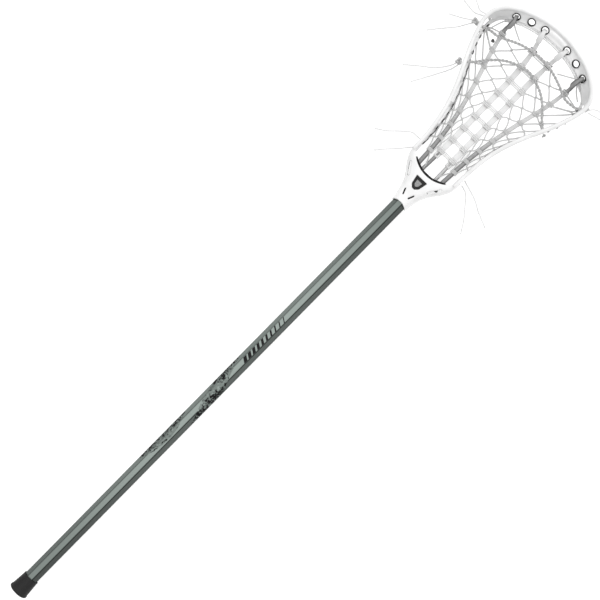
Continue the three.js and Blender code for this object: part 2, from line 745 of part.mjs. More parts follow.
// Shooting strings: arches across the net, through the side windows and out to their knots.
const UPPER_ARCH = [[1054, 0], [1051, 14], [1044, 30], [1037, 47], [1031, 66]];
const LOWER_ARCH = [[1031, 0], [1028, 15], [1020, 34], [1007, 50], [995, 60]];
const UPPER_LEFT_END = [[1027, 80, 6], [1028, 88, 12], [1028.5, 95, 12]];
const UPPER_RIGHT_END = [[1031, -80, 8], [1037, -88, 15], [1041, -92.5, 13]];
const LOWER_LEFT_END = [[987, 66, -2], [980, 71.5, 4], [976.5, 76, 4.5]];
const LOWER_RIGHT_END = [[989, -66, -2], [983, -72, 4], [981, -75, 4.5]];

function makeShooter(arch, leftEnd, rightEnd) {
  const half = (side) => arch.map(([x, y]) => aboveNet(x, side * y, SHOOTER_ABOVE));
  const points = [
    ...[...leftEnd].reverse(), ...half(1).reverse(), ...half(-1).slice(1), ...rightEnd,
  ];
  return tube(points, SHOOTER_RADIUS, 36, 6);
}

// The thin cord along the scoop's inner edge, under the thongs' loops.
function makeScoopString() {
  const points = [];
  for (let station = TIP - 5; station <= TIP + 5; station++) {
    const wall = wallAt(station);
    const p = wall.toe.clone().addScaledVector(wall.down, FOOT_BEAD + LACE_RADIUS + 2 * GAP);
    points.push(wall.place(p).toArray());
  }
  return tube(points, LACE_RADIUS, 40, 6);
}

// ---- Knots and loose tails outside the sidewalls ----
const FLOOR = -REST_DEPTH + TAIL_RADIUS + 0.1;   // middle of a tail that lies on the surface

const KNOTS = {
  knot_upper_left: { at: [1028.5, 101.6, 11], size: [4.6, 5.8, 4.2] },
  knot_upper_right: { at: [1044.6, -95.6, 9.5], size: [4.4, 3.6, 3.8] },
  knot_lower_left: { at: [973.2, 80.2, 3.6], size: [4.8, 4.4, 4.4] },
  knot_lower_right: { at: [978.6, -78.4, 3.6], size: [3.4, 2.6, 3.2] },
  knot_scoop_left: { at: [1046, 92.8, 6], size: [3.6, 2.8, 2.8] },
};

const TAILS = {
  tail_upper_left_1: [[1027, 107.4, 9.5], [1024.5, 113, 5], [1022, 122, -5.5],
    [1019.3, 132, FLOOR], [1014.4, 141.9, FLOOR]],
  tail_upper_left_2: [[1023.8, 104.6, 9.5], [1017, 110, 5.5], [1007, 119, -5],
    [994, 133, FLOOR], [976.5, 147.6, FLOOR]],
  tail_lower_left_1: [[968.6, 82.4, 1.5], [961.2, 86.5, -4], [945, 101.6, FLOOR],
    [931, 120, FLOOR], [917, 137.5, FLOOR]],
  tail_lower_left_2: [[967.8, 79, 1], [959, 82, -5], [937.6, 94.9, FLOOR],
    [923, 103, FLOOR], [907.5, 111.8, FLOOR]],
  tail_scoop_left_1: [[1045, 96.4, 4.2], [1043, 105, -3], [1041, 117.5, FLOOR],
    [1043, 135, FLOOR], [1047, 156, FLOOR]],
  tail_scoop_left_2: [[1047.4, 96, 4.2], [1047.8, 104, -2.5], [1049, 114, FLOOR],
    [1055, 126, FLOOR], [1061, 150, FLOOR]],
  tail_throat_left_1: [[857, 42.4, -11.5], [857, 49, FLOOR], [856.4, 59, FLOOR],
    [849.4, 69, FLOOR], [832, 88.3, FLOOR], [823.4, 101.8, FLOOR]],
  tail_throat_left_2: [[841, 44.4, -11.8], [836, 49, FLOOR], [825.5, 58, FLOOR],
    [812.3, 70.5, FLOOR], [800.4, 80.8, FLOOR]],
  tail_throat_right_1: [[850, -44.4, -11.8], [849, -49, FLOOR], [846, -56, FLOOR],
    [832.4, -68.3, FLOOR], [817, -80.7, FLOOR], [799.7, -91.3, FLOOR]],
  tail_throat_right_2: [[858, -42.8, -11.5], [856, -49, FLOOR], [852.8, -60, FLOOR],
    [848.3, -72.3, FLOOR], [839.9, -87.3, FLOOR], [830, -109.8, FLOOR]],
  tail_upper_right_1: [[1047.8, -99, 7.6], [1054, -103, 2], [1059, -110, -6],
    [1060, -121, FLOOR], [1056, -137, FLOOR], [1047, -151, FLOOR]],
  tail_upper_right_2: [[1043.8, -100, 7], [1046.5, -106, 0], [1050.5, -113, -8],
    [1053, -124, FLOOR], [1048, -137, FLOOR], [1040, -146, FLOOR]],
};

function makeKnot({ at, size }) {
  return new THREE.SphereGeometry(1, 10, 7).scale(...size).translate(...at);
}

// A tail follows a smooth curve through its route and never dips below the surface.
function makeTail(route) {
  const curve = new THREE.CatmullRomCurve3(route.map(vector));
  const steps = Math.round(curve.getLength() / (5.5 * TAIL_RADIUS));
  const laid = curve.getSpacedPoints(steps).map((p) => [p.x, p.y, Math.max(p.z, FLOOR)]);
  return tube(laid, TAIL_RADIUS, steps, 8);
}

// ---- Assembly ----
group.position.set(-LENGTH / 2, 0, REST_DEPTH);
addPart('shaft', makeShaft(), 'aluminium');
addPart('butt_cap', makeButtCap(), 'rubber');
addPart('head', makeHead(), 'plastic');
addPart('ball_stop', makeBallStop(), 'foam');
addPart('throat_badge', makeBadge(), 'badge');
addPart('head_screw', makeScrew(), 'steel');
allHoleFrames().forEach((frame, k) => addPart(`scoop_ring_${k + 1}`, makeRing(frame), 'ring'));
makeThongs();
addPart('ladder_lacing', makeLadder(), 'lace');
addPart('cross_lacing_left', makeCrossLacing(1), 'lace');
addPart('cross_lacing_right', makeCrossLacing(-1), 'lace');
addPart('sidewall_string_left', makeSidewallString(1), 'lace');
addPart('sidewall_string_right', makeSidewallString(-1), 'lace');
addPart('shooting_string_upper',
  makeShooter(UPPER_ARCH, UPPER_LEFT_END, UPPER_RIGHT_END), 'shooter');
addPart('shooting_string_lower',
  makeShooter(LOWER_ARCH, LOWER_LEFT_END, LOWER_RIGHT_END), 'shooter');
addPart('scoop_string', makeScoopString(), 'lace');
for (const [name, knot] of Object.entries(KNOTS)) addPart(name, makeKnot(knot), 'shooter');
for (const [name, route] of Object.entries(TAILS)) addPart(name, makeTail(route), 'lace');

export default group;
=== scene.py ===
"""A women's lacrosse stick: the looks of its shaft, its moulded head and its strung pocket.

Everything is in metres. Shapes are worked out in the stick's own measure, with lengths from the
butt end and heights from the shaft's axis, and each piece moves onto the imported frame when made.
"""
import math

import bmesh
import bpy
import numpy as np
from mathutils import Matrix, Vector


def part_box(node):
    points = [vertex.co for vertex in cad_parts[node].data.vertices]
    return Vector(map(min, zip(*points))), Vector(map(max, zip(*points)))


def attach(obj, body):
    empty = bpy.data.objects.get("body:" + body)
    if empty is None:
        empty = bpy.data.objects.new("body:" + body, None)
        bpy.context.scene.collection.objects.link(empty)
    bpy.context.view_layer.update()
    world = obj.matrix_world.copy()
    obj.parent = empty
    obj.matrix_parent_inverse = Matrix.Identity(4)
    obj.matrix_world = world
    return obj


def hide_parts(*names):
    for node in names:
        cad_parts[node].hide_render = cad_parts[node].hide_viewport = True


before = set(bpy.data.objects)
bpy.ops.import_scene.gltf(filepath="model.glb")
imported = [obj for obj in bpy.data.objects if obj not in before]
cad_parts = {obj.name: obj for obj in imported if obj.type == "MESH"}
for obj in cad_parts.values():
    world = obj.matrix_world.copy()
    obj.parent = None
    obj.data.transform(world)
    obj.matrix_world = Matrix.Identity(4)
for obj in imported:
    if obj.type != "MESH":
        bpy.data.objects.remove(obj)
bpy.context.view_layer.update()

# ---- Driving dimensions ----
SHAFT_START = 0.003             # the shaft's end inside the butt cap
SHAFT_FLATS = 0.0205            # across flats
SHAFT_WALL = 0.0013
CORNER_RADIUS = 0.002
CAP_LENGTH = 0.029
GAP = 0.0003                    # clearance where two pieces touch
REST_DEPTH = 0.0146             # the shaft's axis above the surface

LIP_X = 0.767                   # mouth of the head's socket
SCREW_X = 0.785
AT_SCREW = Matrix.Translation((SCREW_X, 0, 0))
ARC_CENTRE_X = 0.869            # centre of the arched ball-stop wall
ARC_RADIUS = 0.047
ARC_WALL = 0.004
PLATE_UNDERSIDE = 0.0085

RIM_BEAD = 0.003
FOOT_BEAD = 0.0024
WALL_HALF = 0.0016

THONG_THICKNESS = 0.002
THONG_LOW = -0.0086             # height of the thongs in their slots
THONG_FREE_X = 0.841            # where a thong is clear of the ball-stop wall
STRAP_END_X = 0.866             # end of the grey straps that tie the inner thongs
INNER_START_X = 0.8575          # where an inner thong starts up the pocket after its fold
THONG_STEPS = 14                # points along a thong before it is smoothed
STRAP_DROP = 0.0019             # how far the grey strap runs below the net
NET_RADIUS = 0.001
STITCH_RADIUS = 0.0007
SHOOTER_STRAND = 0.0011
TAIL_DIAMETER = 0.002
LADDER_ROWS = 9
LADDER_START = 0.865
LADDER_PITCH = 0.0232

shaft_low, shaft_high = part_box("shaft")
SHAFT_LENGTH = shaft_high.x - shaft_low.x
SHAFT_END = SHAFT_START + SHAFT_LENGTH
ORIGIN = np.array([shaft_low.x - SHAFT_START, 0.0, (shaft_low.z + shaft_high.z) / 2])


# ---- Camera ----
def make_camera():
    """Looks down on the stick, which lies corner to corner, from a little to its right side."""
    distance = 2.1
    across_picture = 0.8472     # metres that the picture spans at the shaft
    aim = ORIGIN + np.array([0.5738, 0.0045, 0.0])
    lean = math.radians(5.0)
    turn = math.radians(45.45)
    back = Vector((0, -math.sin(lean), math.cos(lean)))
    stick = Vector((1, 0, 0))
    side = back.cross(stick)
    right = math.cos(turn) * stick - math.sin(turn) * side
    up = math.sin(turn) * stick + math.cos(turn) * side
    data = bpy.data.cameras.new("camera")
    data.sensor_width = 36
    data.lens = data.sensor_width * distance / across_picture
    data.clip_end = 50
    camera = bpy.data.objects.new("camera", data)
    matrix = Matrix((right, up, back)).transposed().to_4x4()
    matrix.translation = Vector(aim) + back * distance
    camera.matrix_world = matrix
    bpy.context.scene.collection.objects.link(camera)
    bpy.context.scene.camera = camera


# ---- Materials ----
class Nodes:
    """Makes nodes in one node tree and links them."""

    def __init__(self, tree):
        self.tree = tree

    def node(self, kind, settings=None, **inputs):
        made = self.tree.nodes.new("ShaderNode" + kind)
        for key, value in (settings or {}).items():
            setattr(made, key, value)
        for key, value in inputs.items():
            self.feed(made.inputs[key.replace("_", " ")], value)
        return made

    def feed(self, socket, value):
        if isinstance(value, bpy.types.NodeSocket):
            self.tree.links.new(value, socket)
        else:
            socket.default_value = value

    def math(self, operation, *values):
        made = self.node("Math", {"operation": operation})
        for socket, value in zip(made.inputs, values):
            self.feed(socket, value)
        return made.outputs[0]


class Look(Nodes):
    """A procedural material: one Principled shader and the nodes that feed it."""

    def __init__(self, name, **sockets):
        self.material = bpy.data.materials.new(name)
        self.material.use_nodes = True
        super().__init__(self.material.node_tree)
        self.shader = self.tree.nodes["Principled BSDF"]
        for key, value in sockets.items():
            self.shader.inputs[key.replace("_", " ")].default_value = value

    def between(self, value, low, high, to_low=0.0, to_high=1.0):
        """A value's place between two limits, smooth at both."""
        made = self.node("MapRange", {"interpolation_type": "SMOOTHSTEP"})
        for key, number in (("From Min", low), ("From Max", high),
                            ("To Min", to_low), ("To Max", to_high)):
            self.feed(made.inputs[key], number)
        self.feed(made.inputs["Value"], value)
        return made.outputs["Result"]

    def mix(self, share, first, second):
        made = self.node("Mix", {"data_type": "RGBA"})
        colour_sockets = [s for s in made.inputs if s.type == "RGBA"]
        self.feed(made.inputs[0], share)
        for socket, value in zip(colour_sockets, (first, second)):
            self.feed(socket, value)
        return next(s for s in made.outputs if s.type == "RGBA")

    def place(self):
        """The point's place in the stick's own measure: sockets for x, y and z."""
        where = self.node("TexCoord").outputs["Object"]
        parts = self.node("SeparateXYZ", Vector=where).outputs
        return [self.math("SUBTRACT", part, float(start)) for part, start in zip(parts, ORIGIN)]

    def noise(self, scale, detail=3.0, distortion=0.0, vector=None):
        made = self.node("TexNoise", Scale=scale, Detail=detail, Distortion=distortion)
        self.feed(made.inputs["Vector"], vector or self.node("TexCoord").outputs["Object"])
        return made.outputs["Fac"]

    def run(self):
        """Length along the loft and share of the way around it."""
        where = self.node("Attribute", {"attribute_name": "run"}).outputs["Vector"]
        return self.node("SeparateXYZ", Vector=where).outputs[:2]

    def colour(self, socket):
        self.feed(self.shader.inputs["Base Color"], socket)

    def rough(self, socket):
        self.feed(self.shader.inputs["Roughness"], socket)

    def bump(self, height, strength, distance):
        made = self.node("Bump", Strength=strength, Distance=distance, Height=height)
        self.feed(self.shader.inputs["Normal"], made.outputs["Normal"])


def grey(value, tint=(1.0, 1.0, 1.0)):
    return (*(value * part for part in tint), 1.0)


def moulded_white():
    """Glossy white plastic, with faint flow marks and a finely textured skin."""
    look = Look("head_white", Roughness=0.2, IOR=1.49)
    flow = look.noise(38.0, 2.0, 0.6)
    look.colour(look.mix(look.between(flow, 0.35, 0.65), grey(0.68), grey(0.74)))
    look.rough(look.between(look.noise(900.0, 2.0), 0.3, 0.7, 0.16, 0.24))
    look.bump(look.noise(1400.0, 2.0), 0.12, 0.00005)
    return look.material


def braided(name, light, dark, pitch, strands, roughness=0.75):
    """Braided cord: strands cross in both directions round the cord."""
    look = Look(name, Roughness=roughness, Sheen_Weight=0.25, Sheen_Roughness=0.5)
    length, around = look.run()
    step = look.math("MULTIPLY", length, 2 * math.pi / pitch)
    turn = look.math("MULTIPLY", around, 2 * math.pi * strands)
    one = look.math("SINE", look.math("ADD", step, turn))
    other = look.math("SINE", look.math("SUBTRACT", step, turn))
    weave = look.math("MULTIPLY", one, other)
    fibre = look.noise(2600.0, 3.0)
    height = look.math("ADD", weave, look.math("MULTIPLY", fibre, 0.5))
    share = look.between(height, -0.75, 0.9)
    worn = look.between(look.noise(45.0, 2.0), 0.3, 0.7, 0.88, 1.0)
    look.colour(look.mix(look.math("MULTIPLY", share, worn), grey(dark), grey(light)))
    look.bump(height, 0.6, 0.00018)
    return look.material


def woven_strap():
    """Flat woven webbing: fine ribs across, and a firm edge along both sides."""
    look = Look("white_thong", Roughness=0.8, Sheen_Weight=0.3, Sheen_Roughness=0.5)
    length, around = look.run()
    ribs = look.math("SINE", look.math("MULTIPLY", length, 2 * math.pi / 0.0011))
    ends = look.math("SINE", look.math("MULTIPLY", around, 2 * math.pi * 24))
    weave = look.math("MULTIPLY", ribs, ends)
    height = look.math("ADD", weave, look.math("MULTIPLY", look.noise(1800.0), 0.6))
    share = look.between(height, -0.9, 0.9)
    look.colour(look.mix(share, grey(0.58), grey(0.72)))
    look.bump(height, 0.5, 0.00012)
    return look.material


def thong_leather(name, tone):
    """Grey thong: fine grain, with painted shade towards the ball stop, where it folds at the scoop,
    and along its edges there.
    """
    look = Look(name, Roughness=0.62, Sheen_Weight=0.15)
    x = look.place()[0]
    low_end = look.between(x, 0.845, 0.99)
    high_end = look.between(x, 1.03, 1.052)
    shade = look.math("SUBTRACT", low_end, high_end)
    grain = look.noise(700.0, 4.0)
    spotted = look.math("ADD", shade, look.between(grain, 0.3, 0.7, -0.22, 0.22))
    body = look.mix(look.between(spotted, 0.0, 1.1), grey(tone), grey(0.58))
    # Painted shade: dark lines along both edges, near the ends.
    around = look.run()[1]
    edges = [look.between(look.math("ABSOLUTE", look.math("SUBTRACT", around, place)),
                          0.17, 0.21, 0.7, 0.0) for place in (1 / 6, 2 / 3)]
    edge = look.math("MULTIPLY", look.math("MAXIMUM", *edges), look.math("SUBTRACT", 1.0, shade))
    look.colour(look.mix(edge, body, grey(0.05)))
    pores = look.node("TexVoronoi", Scale=1500.0).outputs["Distance"]
    look.bump(look.math("ADD", grain, pores), 0.4, 0.00015)
    return look.material


def matte_black(name, value, grain, roughness):
    """Matte rubber, foam or plastic from black to grey; the grain's size is in metres."""
    look = Look(name, Roughness=roughness, Specular_IOR_Level=0.2)
    speck = look.noise(1.0 / grain, 4.0)
    look.colour(look.mix(look.between(speck, 0.3, 0.7), grey(value * 0.7), grey(value * 1.5)))
    look.rough(look.between(speck, 0.3, 0.7, roughness - 0.08, roughness + 0.08))
    look.bump(speck, 0.35, grain * 0.4)
    return look.material


def plated_steel():
    look = Look("screw_steel", Metallic=1.0, Roughness=0.3)
    turned = look.noise(1200.0, 3.0)
    look.colour(look.mix(look.between(turned, 0.3, 0.7), grey(0.42), grey(0.6)))
    look.bump(turned, 0.15, 0.00003)
    return look.material


SHAFT_TINT = (0.92, 1.06, 0.99)  # a slight green in the tube's grey
HUMP_MIDDLE = 0.303             # the scroll that hugs the left facets
HUMP_HALF = 0.046
BAND_START = 0.372              # the scroll that crosses the shaft
BAND_END = 0.430
BARS_START = 0.4576
BARS_END = 0.5456
BAR_PITCH = 0.0088
SOCKET_SHADE_X = 0.773           # from here the tube is painted black as shade, inside the socket


def scroll_mask(look, x, turn):
    """Where the shaft's dark scrolls lie: one hugs the left facets, one crosses the shaft."""
    sway = look.between(look.noise(26.0, 2.0), 0.3, 0.7, -0.1, 0.1)
    swayed = look.math("ADD", turn, sway)
    along = look.math("DIVIDE", look.math("SUBTRACT", x, HUMP_MIDDLE), HUMP_HALF)
    hump = look.math("SUBTRACT", 1.0, look.math("MULTIPLY", along, along))
    edge = look.math("SUBTRACT", 1.0, look.math("MULTIPLY", look.math("MAXIMUM", hump, 0.0), 1.3))
    first = look.math("MULTIPLY", look.between(swayed, edge, look.math("ADD", edge, 0.05)),
                      look.between(hump, 0.0, 0.05))
    start = look.math("ADD", look.math("MULTIPLY", swayed, 0.028), BAND_START)
    end = look.math("ADD", look.math("MULTIPLY", swayed, 0.024), BAND_END)
    second = look.math(
        "MULTIPLY", look.between(x, start, look.math("ADD", start, 0.0015)),
        look.between(x, end, look.math("ADD", end, 0.0015), 1.0, 0.0))
    return look.math("MAXIMUM", first, second)


def speed_bars(look, x, turn):
    """A row of slanted bars on the upper facet that get thinner towards the head."""
    slanted = look.math("SUBTRACT", x, look.math("MULTIPLY", turn, 0.007))
    wave = look.math("FRACT", look.math("DIVIDE", slanted, BAR_PITCH))
    width = look.between(x, 0.455, 0.552, 0.72, 0.18)
    bar = look.math("LESS_THAN", wave, width)
    inside = look.math("MULTIPLY", look.math("GREATER_THAN", slanted, BARS_START),
                       look.math("LESS_THAN", slanted, BARS_END))
    on_facet = look.math("LESS_THAN", look.math("ABSOLUTE", turn), 0.33)
    return look.math("MULTIPLY", bar, look.math("MULTIPLY", inside, on_facet))


def anodised_aluminium():
    """Satin grey-green tube: fine lines along it and a printed pattern. Painted light on it: a
    painted reflection makes it lighter mid-length, and painted shade darkens the side facets and the
    corners.
    The end inside the head's socket is painted black as shade."""
    look = Look("shaft_anodised", Metallic=0.9, Roughness=0.36)
    x, y, z = look.place()
    turn = look.math("ARCTAN2", y, z)
    drawn = look.node("CombineXYZ", X=look.math("MULTIPLY", x, 14.0),
                      Y=look.math("MULTIPLY", turn, 22.0)).outputs["Vector"]
    lines = look.noise(9.0, 4.0, 0.0, drawn)
    # Painted reflection: the tube is lighter mid-length and darker towards both ends.
    middle = look.math("ABSOLUTE", look.math("SUBTRACT", x, 0.43))
    painted_sheen_fade = look.between(middle, 0.1, 0.42)
    bright = look.mix(painted_sheen_fade, grey(0.23, SHAFT_TINT), grey(0.135, SHAFT_TINT))
    # Painted shade: the facets either side of the upper one are darker, the right one most.
    right = look.between(turn, -0.40, -0.38, 0.45, 0.0)
    left = look.between(turn, 0.38, 0.40, 0.0, 0.14)
    facet_shaded_tone = look.mix(look.math("ADD", right, left), bright, grey(0.02))
    base = look.mix(look.between(lines, 0.35, 0.65, 0.0, 0.12), facet_shaded_tone, grey(0.08))
    # Painted shade: dark lines along the corners, stronger on the right side.
    corner = look.math("PINGPONG", look.math("SUBTRACT", turn, math.pi / 8), math.pi / 8)
    depth = look.between(turn, -0.1, 0.1, 0.85, 0.4)
    line = look.math("MULTIPLY", look.between(corner, 0.05, 0.12, 1.0, 0.0), depth)
    base = look.mix(line, base, grey(0.015, (0.9, 1.05, 1.0)))
    smoke = look.noise(105.0, 5.0, 2.0)
    inked = look.between(look.math("ABSOLUTE", look.math("SUBTRACT", turn, 0.25)), 0.2, 0.9)
    limit = look.math("ADD", look.math("MULTIPLY", inked, 0.16), 0.42)
    dark = look.between(look.math("SUBTRACT", smoke, limit), -0.03, 0.04)
    printed = look.mix(dark, grey(0.008), grey(0.14, SHAFT_TINT))
    curls = look.between(look.noise(95.0, 2.0, 3.5), 0.56, 0.60)
    printed = look.mix(look.math("MULTIPLY", curls, 0.8), printed, bright)
    base = look.mix(scroll_mask(look, x, turn), base, printed)
    base = look.mix(speed_bars(look, x, turn), base, grey(0.01))
    # Painted shade: the tube inside the socket is near black.
    socket_shade = look.between(x, SOCKET_SHADE_X - 0.001, SOCKET_SHADE_X + 0.001)
    look.colour(look.mix(socket_shade, base, grey(0.012)))
    look.rough(look.between(lines, 0.3, 0.7, 0.32, 0.42))
    look.bump(lines, 0.08, 0.00003)
    return look.material


# ---- Curves ----
def spline(points, t):
    """A point on the centripetal Catmull-Rom curve through the points, with t from 0 to 1."""
    last = len(points) - 1
    k = min(int(t * last), last - 1)
    w = t * last - k
    p1, p2 = points[k], points[k + 1]
    p0 = points[k - 1] if k > 0 else 2 * p1 - p2
    p3 = points[k + 2] if k + 2 <= last else 2 * p2 - p1
    d0, d1, d2 = (math.sqrt(max(np.linalg.norm(b - a), 1e-9))
                  for a, b in ((p0, p1), (p1, p2), (p2, p3)))
    m1 = ((p1 - p0) / d0 - (p2 - p0) / (d0 + d1) + (p2 - p1) / d1) * d1
    m2 = ((p2 - p1) / d1 - (p3 - p1) / (d1 + d2) + (p3 - p2) / d2) * d1
    cubic = 2 * p1 - 2 * p2 + m1 + m2
    square = -3 * p1 + 3 * p2 - 2 * m1 - m2
    return p1 + w * (m1 + w * (square + w * cubic))


def lengths_along(line):
    steps = np.linalg.norm(np.diff(line, axis=0), axis=1)
    return np.concatenate([[0.0], np.cumsum(steps)])


def resample(line, step):
    """The same line with evenly spaced points, about step apart."""
    lengths = lengths_along(line)
    count = max(2, round(lengths[-1] / step))
    wanted = np.linspace(0, lengths[-1], count + 1)
    return np.column_stack([np.interp(wanted, lengths, line[:, i]) for i in range(3)])


def route(points, step):
    """A smooth line through the points, evenly spaced."""
    points = np.array(points, float)
    count = 10 * (len(points) - 1)
    return resample(np.array([spline(points, k / count) for k in range(count + 1)]), step)


def unit(vectors):
    vectors = np.asarray(vectors, float)
    return vectors / np.maximum(np.linalg.norm(vectors, axis=-1, keepdims=True), 1e-12)


def frames_along(line, closed=False):
    """Two directions square to the line at each point, carried along it without twisting."""
    if closed:
        tangents = unit(np.roll(line, -1, axis=0) - np.roll(line, 1, axis=0))
    else:
        tangents = unit(np.gradient(line, axis=0))
    spare = np.array([0.0, 0.0, 1.0]) if abs(tangents[0][2]) < 0.9 else np.array([0.0, 1.0, 0.0])
    normals = []
    for tangent in tangents:
        spare = unit(spare - tangent * (spare @ tangent))
        normals.append(spare)
    normals = np.array(normals)
    return normals, np.cross(tangents, normals)


# ---- Meshes ----
class Skin:
    """A mesh made of lofts; every corner knows its length along its loft and share around it."""

    def __init__(self):
        self.points = []
        self.faces = []
        self.runs = []

    def loft(self, rings, lengths=None, joined=False):
        """A skin over rings that all have the same count. Joined closes the last onto the first,
        and otherwise both ends are capped."""
        first = len(self.points)
        sides = len(rings[0])
        if lengths is None:
            lengths = lengths_along(np.array([np.mean(ring, axis=0) for ring in rings]))
        if joined:
            lengths = [*lengths, lengths[-1] + (lengths[1] - lengths[0])]
        for ring in rings:
            self.points.extend(ring)
        for r in range(len(rings) if joined else len(rings) - 1):
            a = first + r * sides
            b = first + (r + 1) % len(rings) * sides
            for s in range(sides):
                t = (s + 1) % sides
                self.faces.append((a + s, a + t, b + t, b + s))
                self.runs += [(lengths[r], s / sides), (lengths[r], (s + 1) / sides),
                              (lengths[r + 1], (s + 1) / sides), (lengths[r + 1], s / sides)]
        if not joined:
            last = first + (len(rings) - 1) * sides
            self.faces.append(tuple(range(first + sides - 1, first - 1, -1)))
            self.faces.append(tuple(range(last, last + sides)))
            self.runs += [(lengths[0], 0.0)] * sides + [(lengths[-1], 0.0)] * sides

    def tube(self, line, radius, sides=10):
        """A round cord along an open line, with domed ends."""
        normals, others = frames_along(line)
        angles = 2 * math.pi * np.arange(sides) / sides
        circle = [(math.cos(a), math.sin(a)) for a in angles]
        tangents = np.cross(normals, others)
        centres = [line[0] - tangents[0] * radius * 0.5, *line,
                   line[-1] + tangents[-1] * radius * 0.5]
        sizes = [0.6 * radius] + [radius] * len(line) + [0.6 * radius]
        places = [0, *range(len(line)), len(line) - 1]
        rings = [[centre + size * (c * normals[k] + s * others[k]) for c, s in circle]
                 for centre, size, k in zip(centres, sizes, places)]
        self.loft(rings, lengths_along(np.array(centres)))

    def hoop(self, line, radius, sides=8):
        """A round cord along a closed flat line."""
        normals, others = frames_along(line, closed=True)
        angles = 2 * math.pi * np.arange(sides) / sides
        rings = [[point + radius * (math.cos(a) * n + math.sin(a) * o) for a in angles]
                 for point, n, o in zip(line, normals, others)]
        self.loft(rings, lengths_along(line), joined=True)

    def twisted(self, line, strand_radius, pitch):
        """Two strands laid round each other along a line."""
        normals, others = frames_along(line)
        lengths = lengths_along(line)
        for start in (0, math.pi):
            angle = start + 2 * math.pi * lengths / pitch
            strand = line + strand_radius * (np.cos(angle)[:, None] * normals
                                             + np.sin(angle)[:, None] * others)
            self.tube(strand, strand_radius, 8)

    def ribbon(self, line, across, width, thickness):
        """A flat strap with rounded edges; width and direction may change from point to point."""
        line = np.array(line)
        across = np.broadcast_to(across, line.shape)
        widths = np.broadcast_to(width, len(line))
        tangents = unit(np.gradient(line, axis=0))
        rings = []
        for point, tangent, side, wide in zip(line, tangents, unit(across), widths):
            up = unit(np.cross(tangent, side))
            half = wide / 2 - thickness / 2
            section = []
            for sign in (1, -1):
                for k in range(5):
                    a = math.pi / 2 - math.pi * k / 4
                    section.append((sign * (half + thickness / 2 * math.cos(a)),
                                    sign * thickness / 2 * math.sin(a)))
                section.append((-sign * half / 3, -sign * thickness / 2))
            rings.append([point + side * s + up * n for s, n in section])
        self.loft(rings, lengths_along(line))

    def lathe(self, profile, basis, sides=48):
        """Turns a closed profile of (radius, height) about the basis's Z axis."""
        basis = np.array(basis)
        rings = []
        for k in range(sides):
            a = 2 * math.pi * k / sides
            local = np.array([(r * math.cos(a), r * math.sin(a), h, 1.0) for r, h in profile])
            rings.append((local @ basis.T)[:, :3])
        self.loft(rings, np.arange(sides) * 0.001, joined=True)

    def prism(self, outline, low, high, basis=None):
        """A straight prism of a flat outline, along the basis's Z axis."""
        basis = np.eye(4) if basis is None else np.array(basis)
        rings = []
        for height in (low, high):
            local = np.array([(x, y, height, 1.0) for x, y in outline])
            rings.append((local @ basis.T)[:, :3])
        self.loft(rings)

    def bare(self, name):
        """The mesh as an object that stays in the stick's own measure, for cutting and joining."""
        mesh = bpy.data.meshes.new(name)
        mesh.from_pydata([tuple(p) for p in self.points], [], self.faces)
        runs = np.array([(length, around, 0.0) for length, around in self.runs], np.float32)
        layer = mesh.attributes.new("run", "FLOAT_VECTOR", "CORNER")
        layer.data.foreach_set("vector", runs.ravel())
        work = bmesh.new()
        work.from_mesh(mesh)
        bmesh.ops.recalc_face_normals(work, faces=work.faces)
        work.to_mesh(mesh)
        work.free()
        made = bpy.data.objects.new(name, mesh)
        bpy.context.scene.collection.objects.link(made)
        return made

    def piece(self, name, look, slot, stands_for=(), body="stick"):
        return finish_piece(self.bare(name), look, stands_for, body)


def finish_piece(made, look, stands_for=(), body="stick", sharp=50):
    """Moves an object onto the frame, gives it its material and its body."""
    made.data.transform(Matrix.Translation(ORIGIN))
    made.data.polygons.foreach_set("use_smooth", [True] * len(made.data.polygons))
    made.data.set_sharp_from_angle(angle=math.radians(sharp))
    made.data.materials.clear()
    made.data.materials.append(look)
    made.data.polygons.foreach_set("material_index", [0] * len(made.data.polygons))
    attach(made, body)
    if stands_for:
        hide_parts(*stands_for)
    return made


def bake_modifiers(made):
    """Makes the object's modifiers part of its mesh."""
    graph = bpy.context.evaluated_depsgraph_get()
    made.data = bpy.data.meshes.new_from_object(made.evaluated_get(graph))
    made.modifiers.clear()


def cut_away(target, *skins):
    """Cuts the solids of some skins out of an object."""
    for skin in skins:
        cutter = skin.bare("cutter")
        modifier = target.modifiers.new("cut", "BOOLEAN")
        modifier.operation = "DIFFERENCE"
        modifier.solver = "MANIFOLD"
        modifier.object = cutter
        bake_modifiers(target)
        bpy.data.objects.remove(cutter)


# ---- Shaft and butt cap ----
def octagon(flats, corner_radius, steps=6):
    """A rounded octagon, with a point on each flat close to each corner so flats shade flat."""
    points = []
    centre = (flats / 2 - corner_radius) / math.cos(math.pi / 8)
    edge = 0.0003
    for corner in range(8):
        middle = math.pi / 8 + corner * math.pi / 4
        c = np.array([centre * math.cos(middle), centre * math.sin(middle)])
        arc = []
        for k in range(steps + 1):
            a = middle + math.pi / 4 * (k / steps - 0.5)
            arc.append(c + corner_radius * np.array([math.cos(a), math.sin(a)]))
        first = middle - math.pi / 8
        last = middle + math.pi / 8
        before = arc[0] + edge * np.array([math.sin(first), -math.cos(first)])
        after = arc[-1] + edge * np.array([-math.sin(last), math.cos(last)])
        points += [before, *arc, after]
    return points


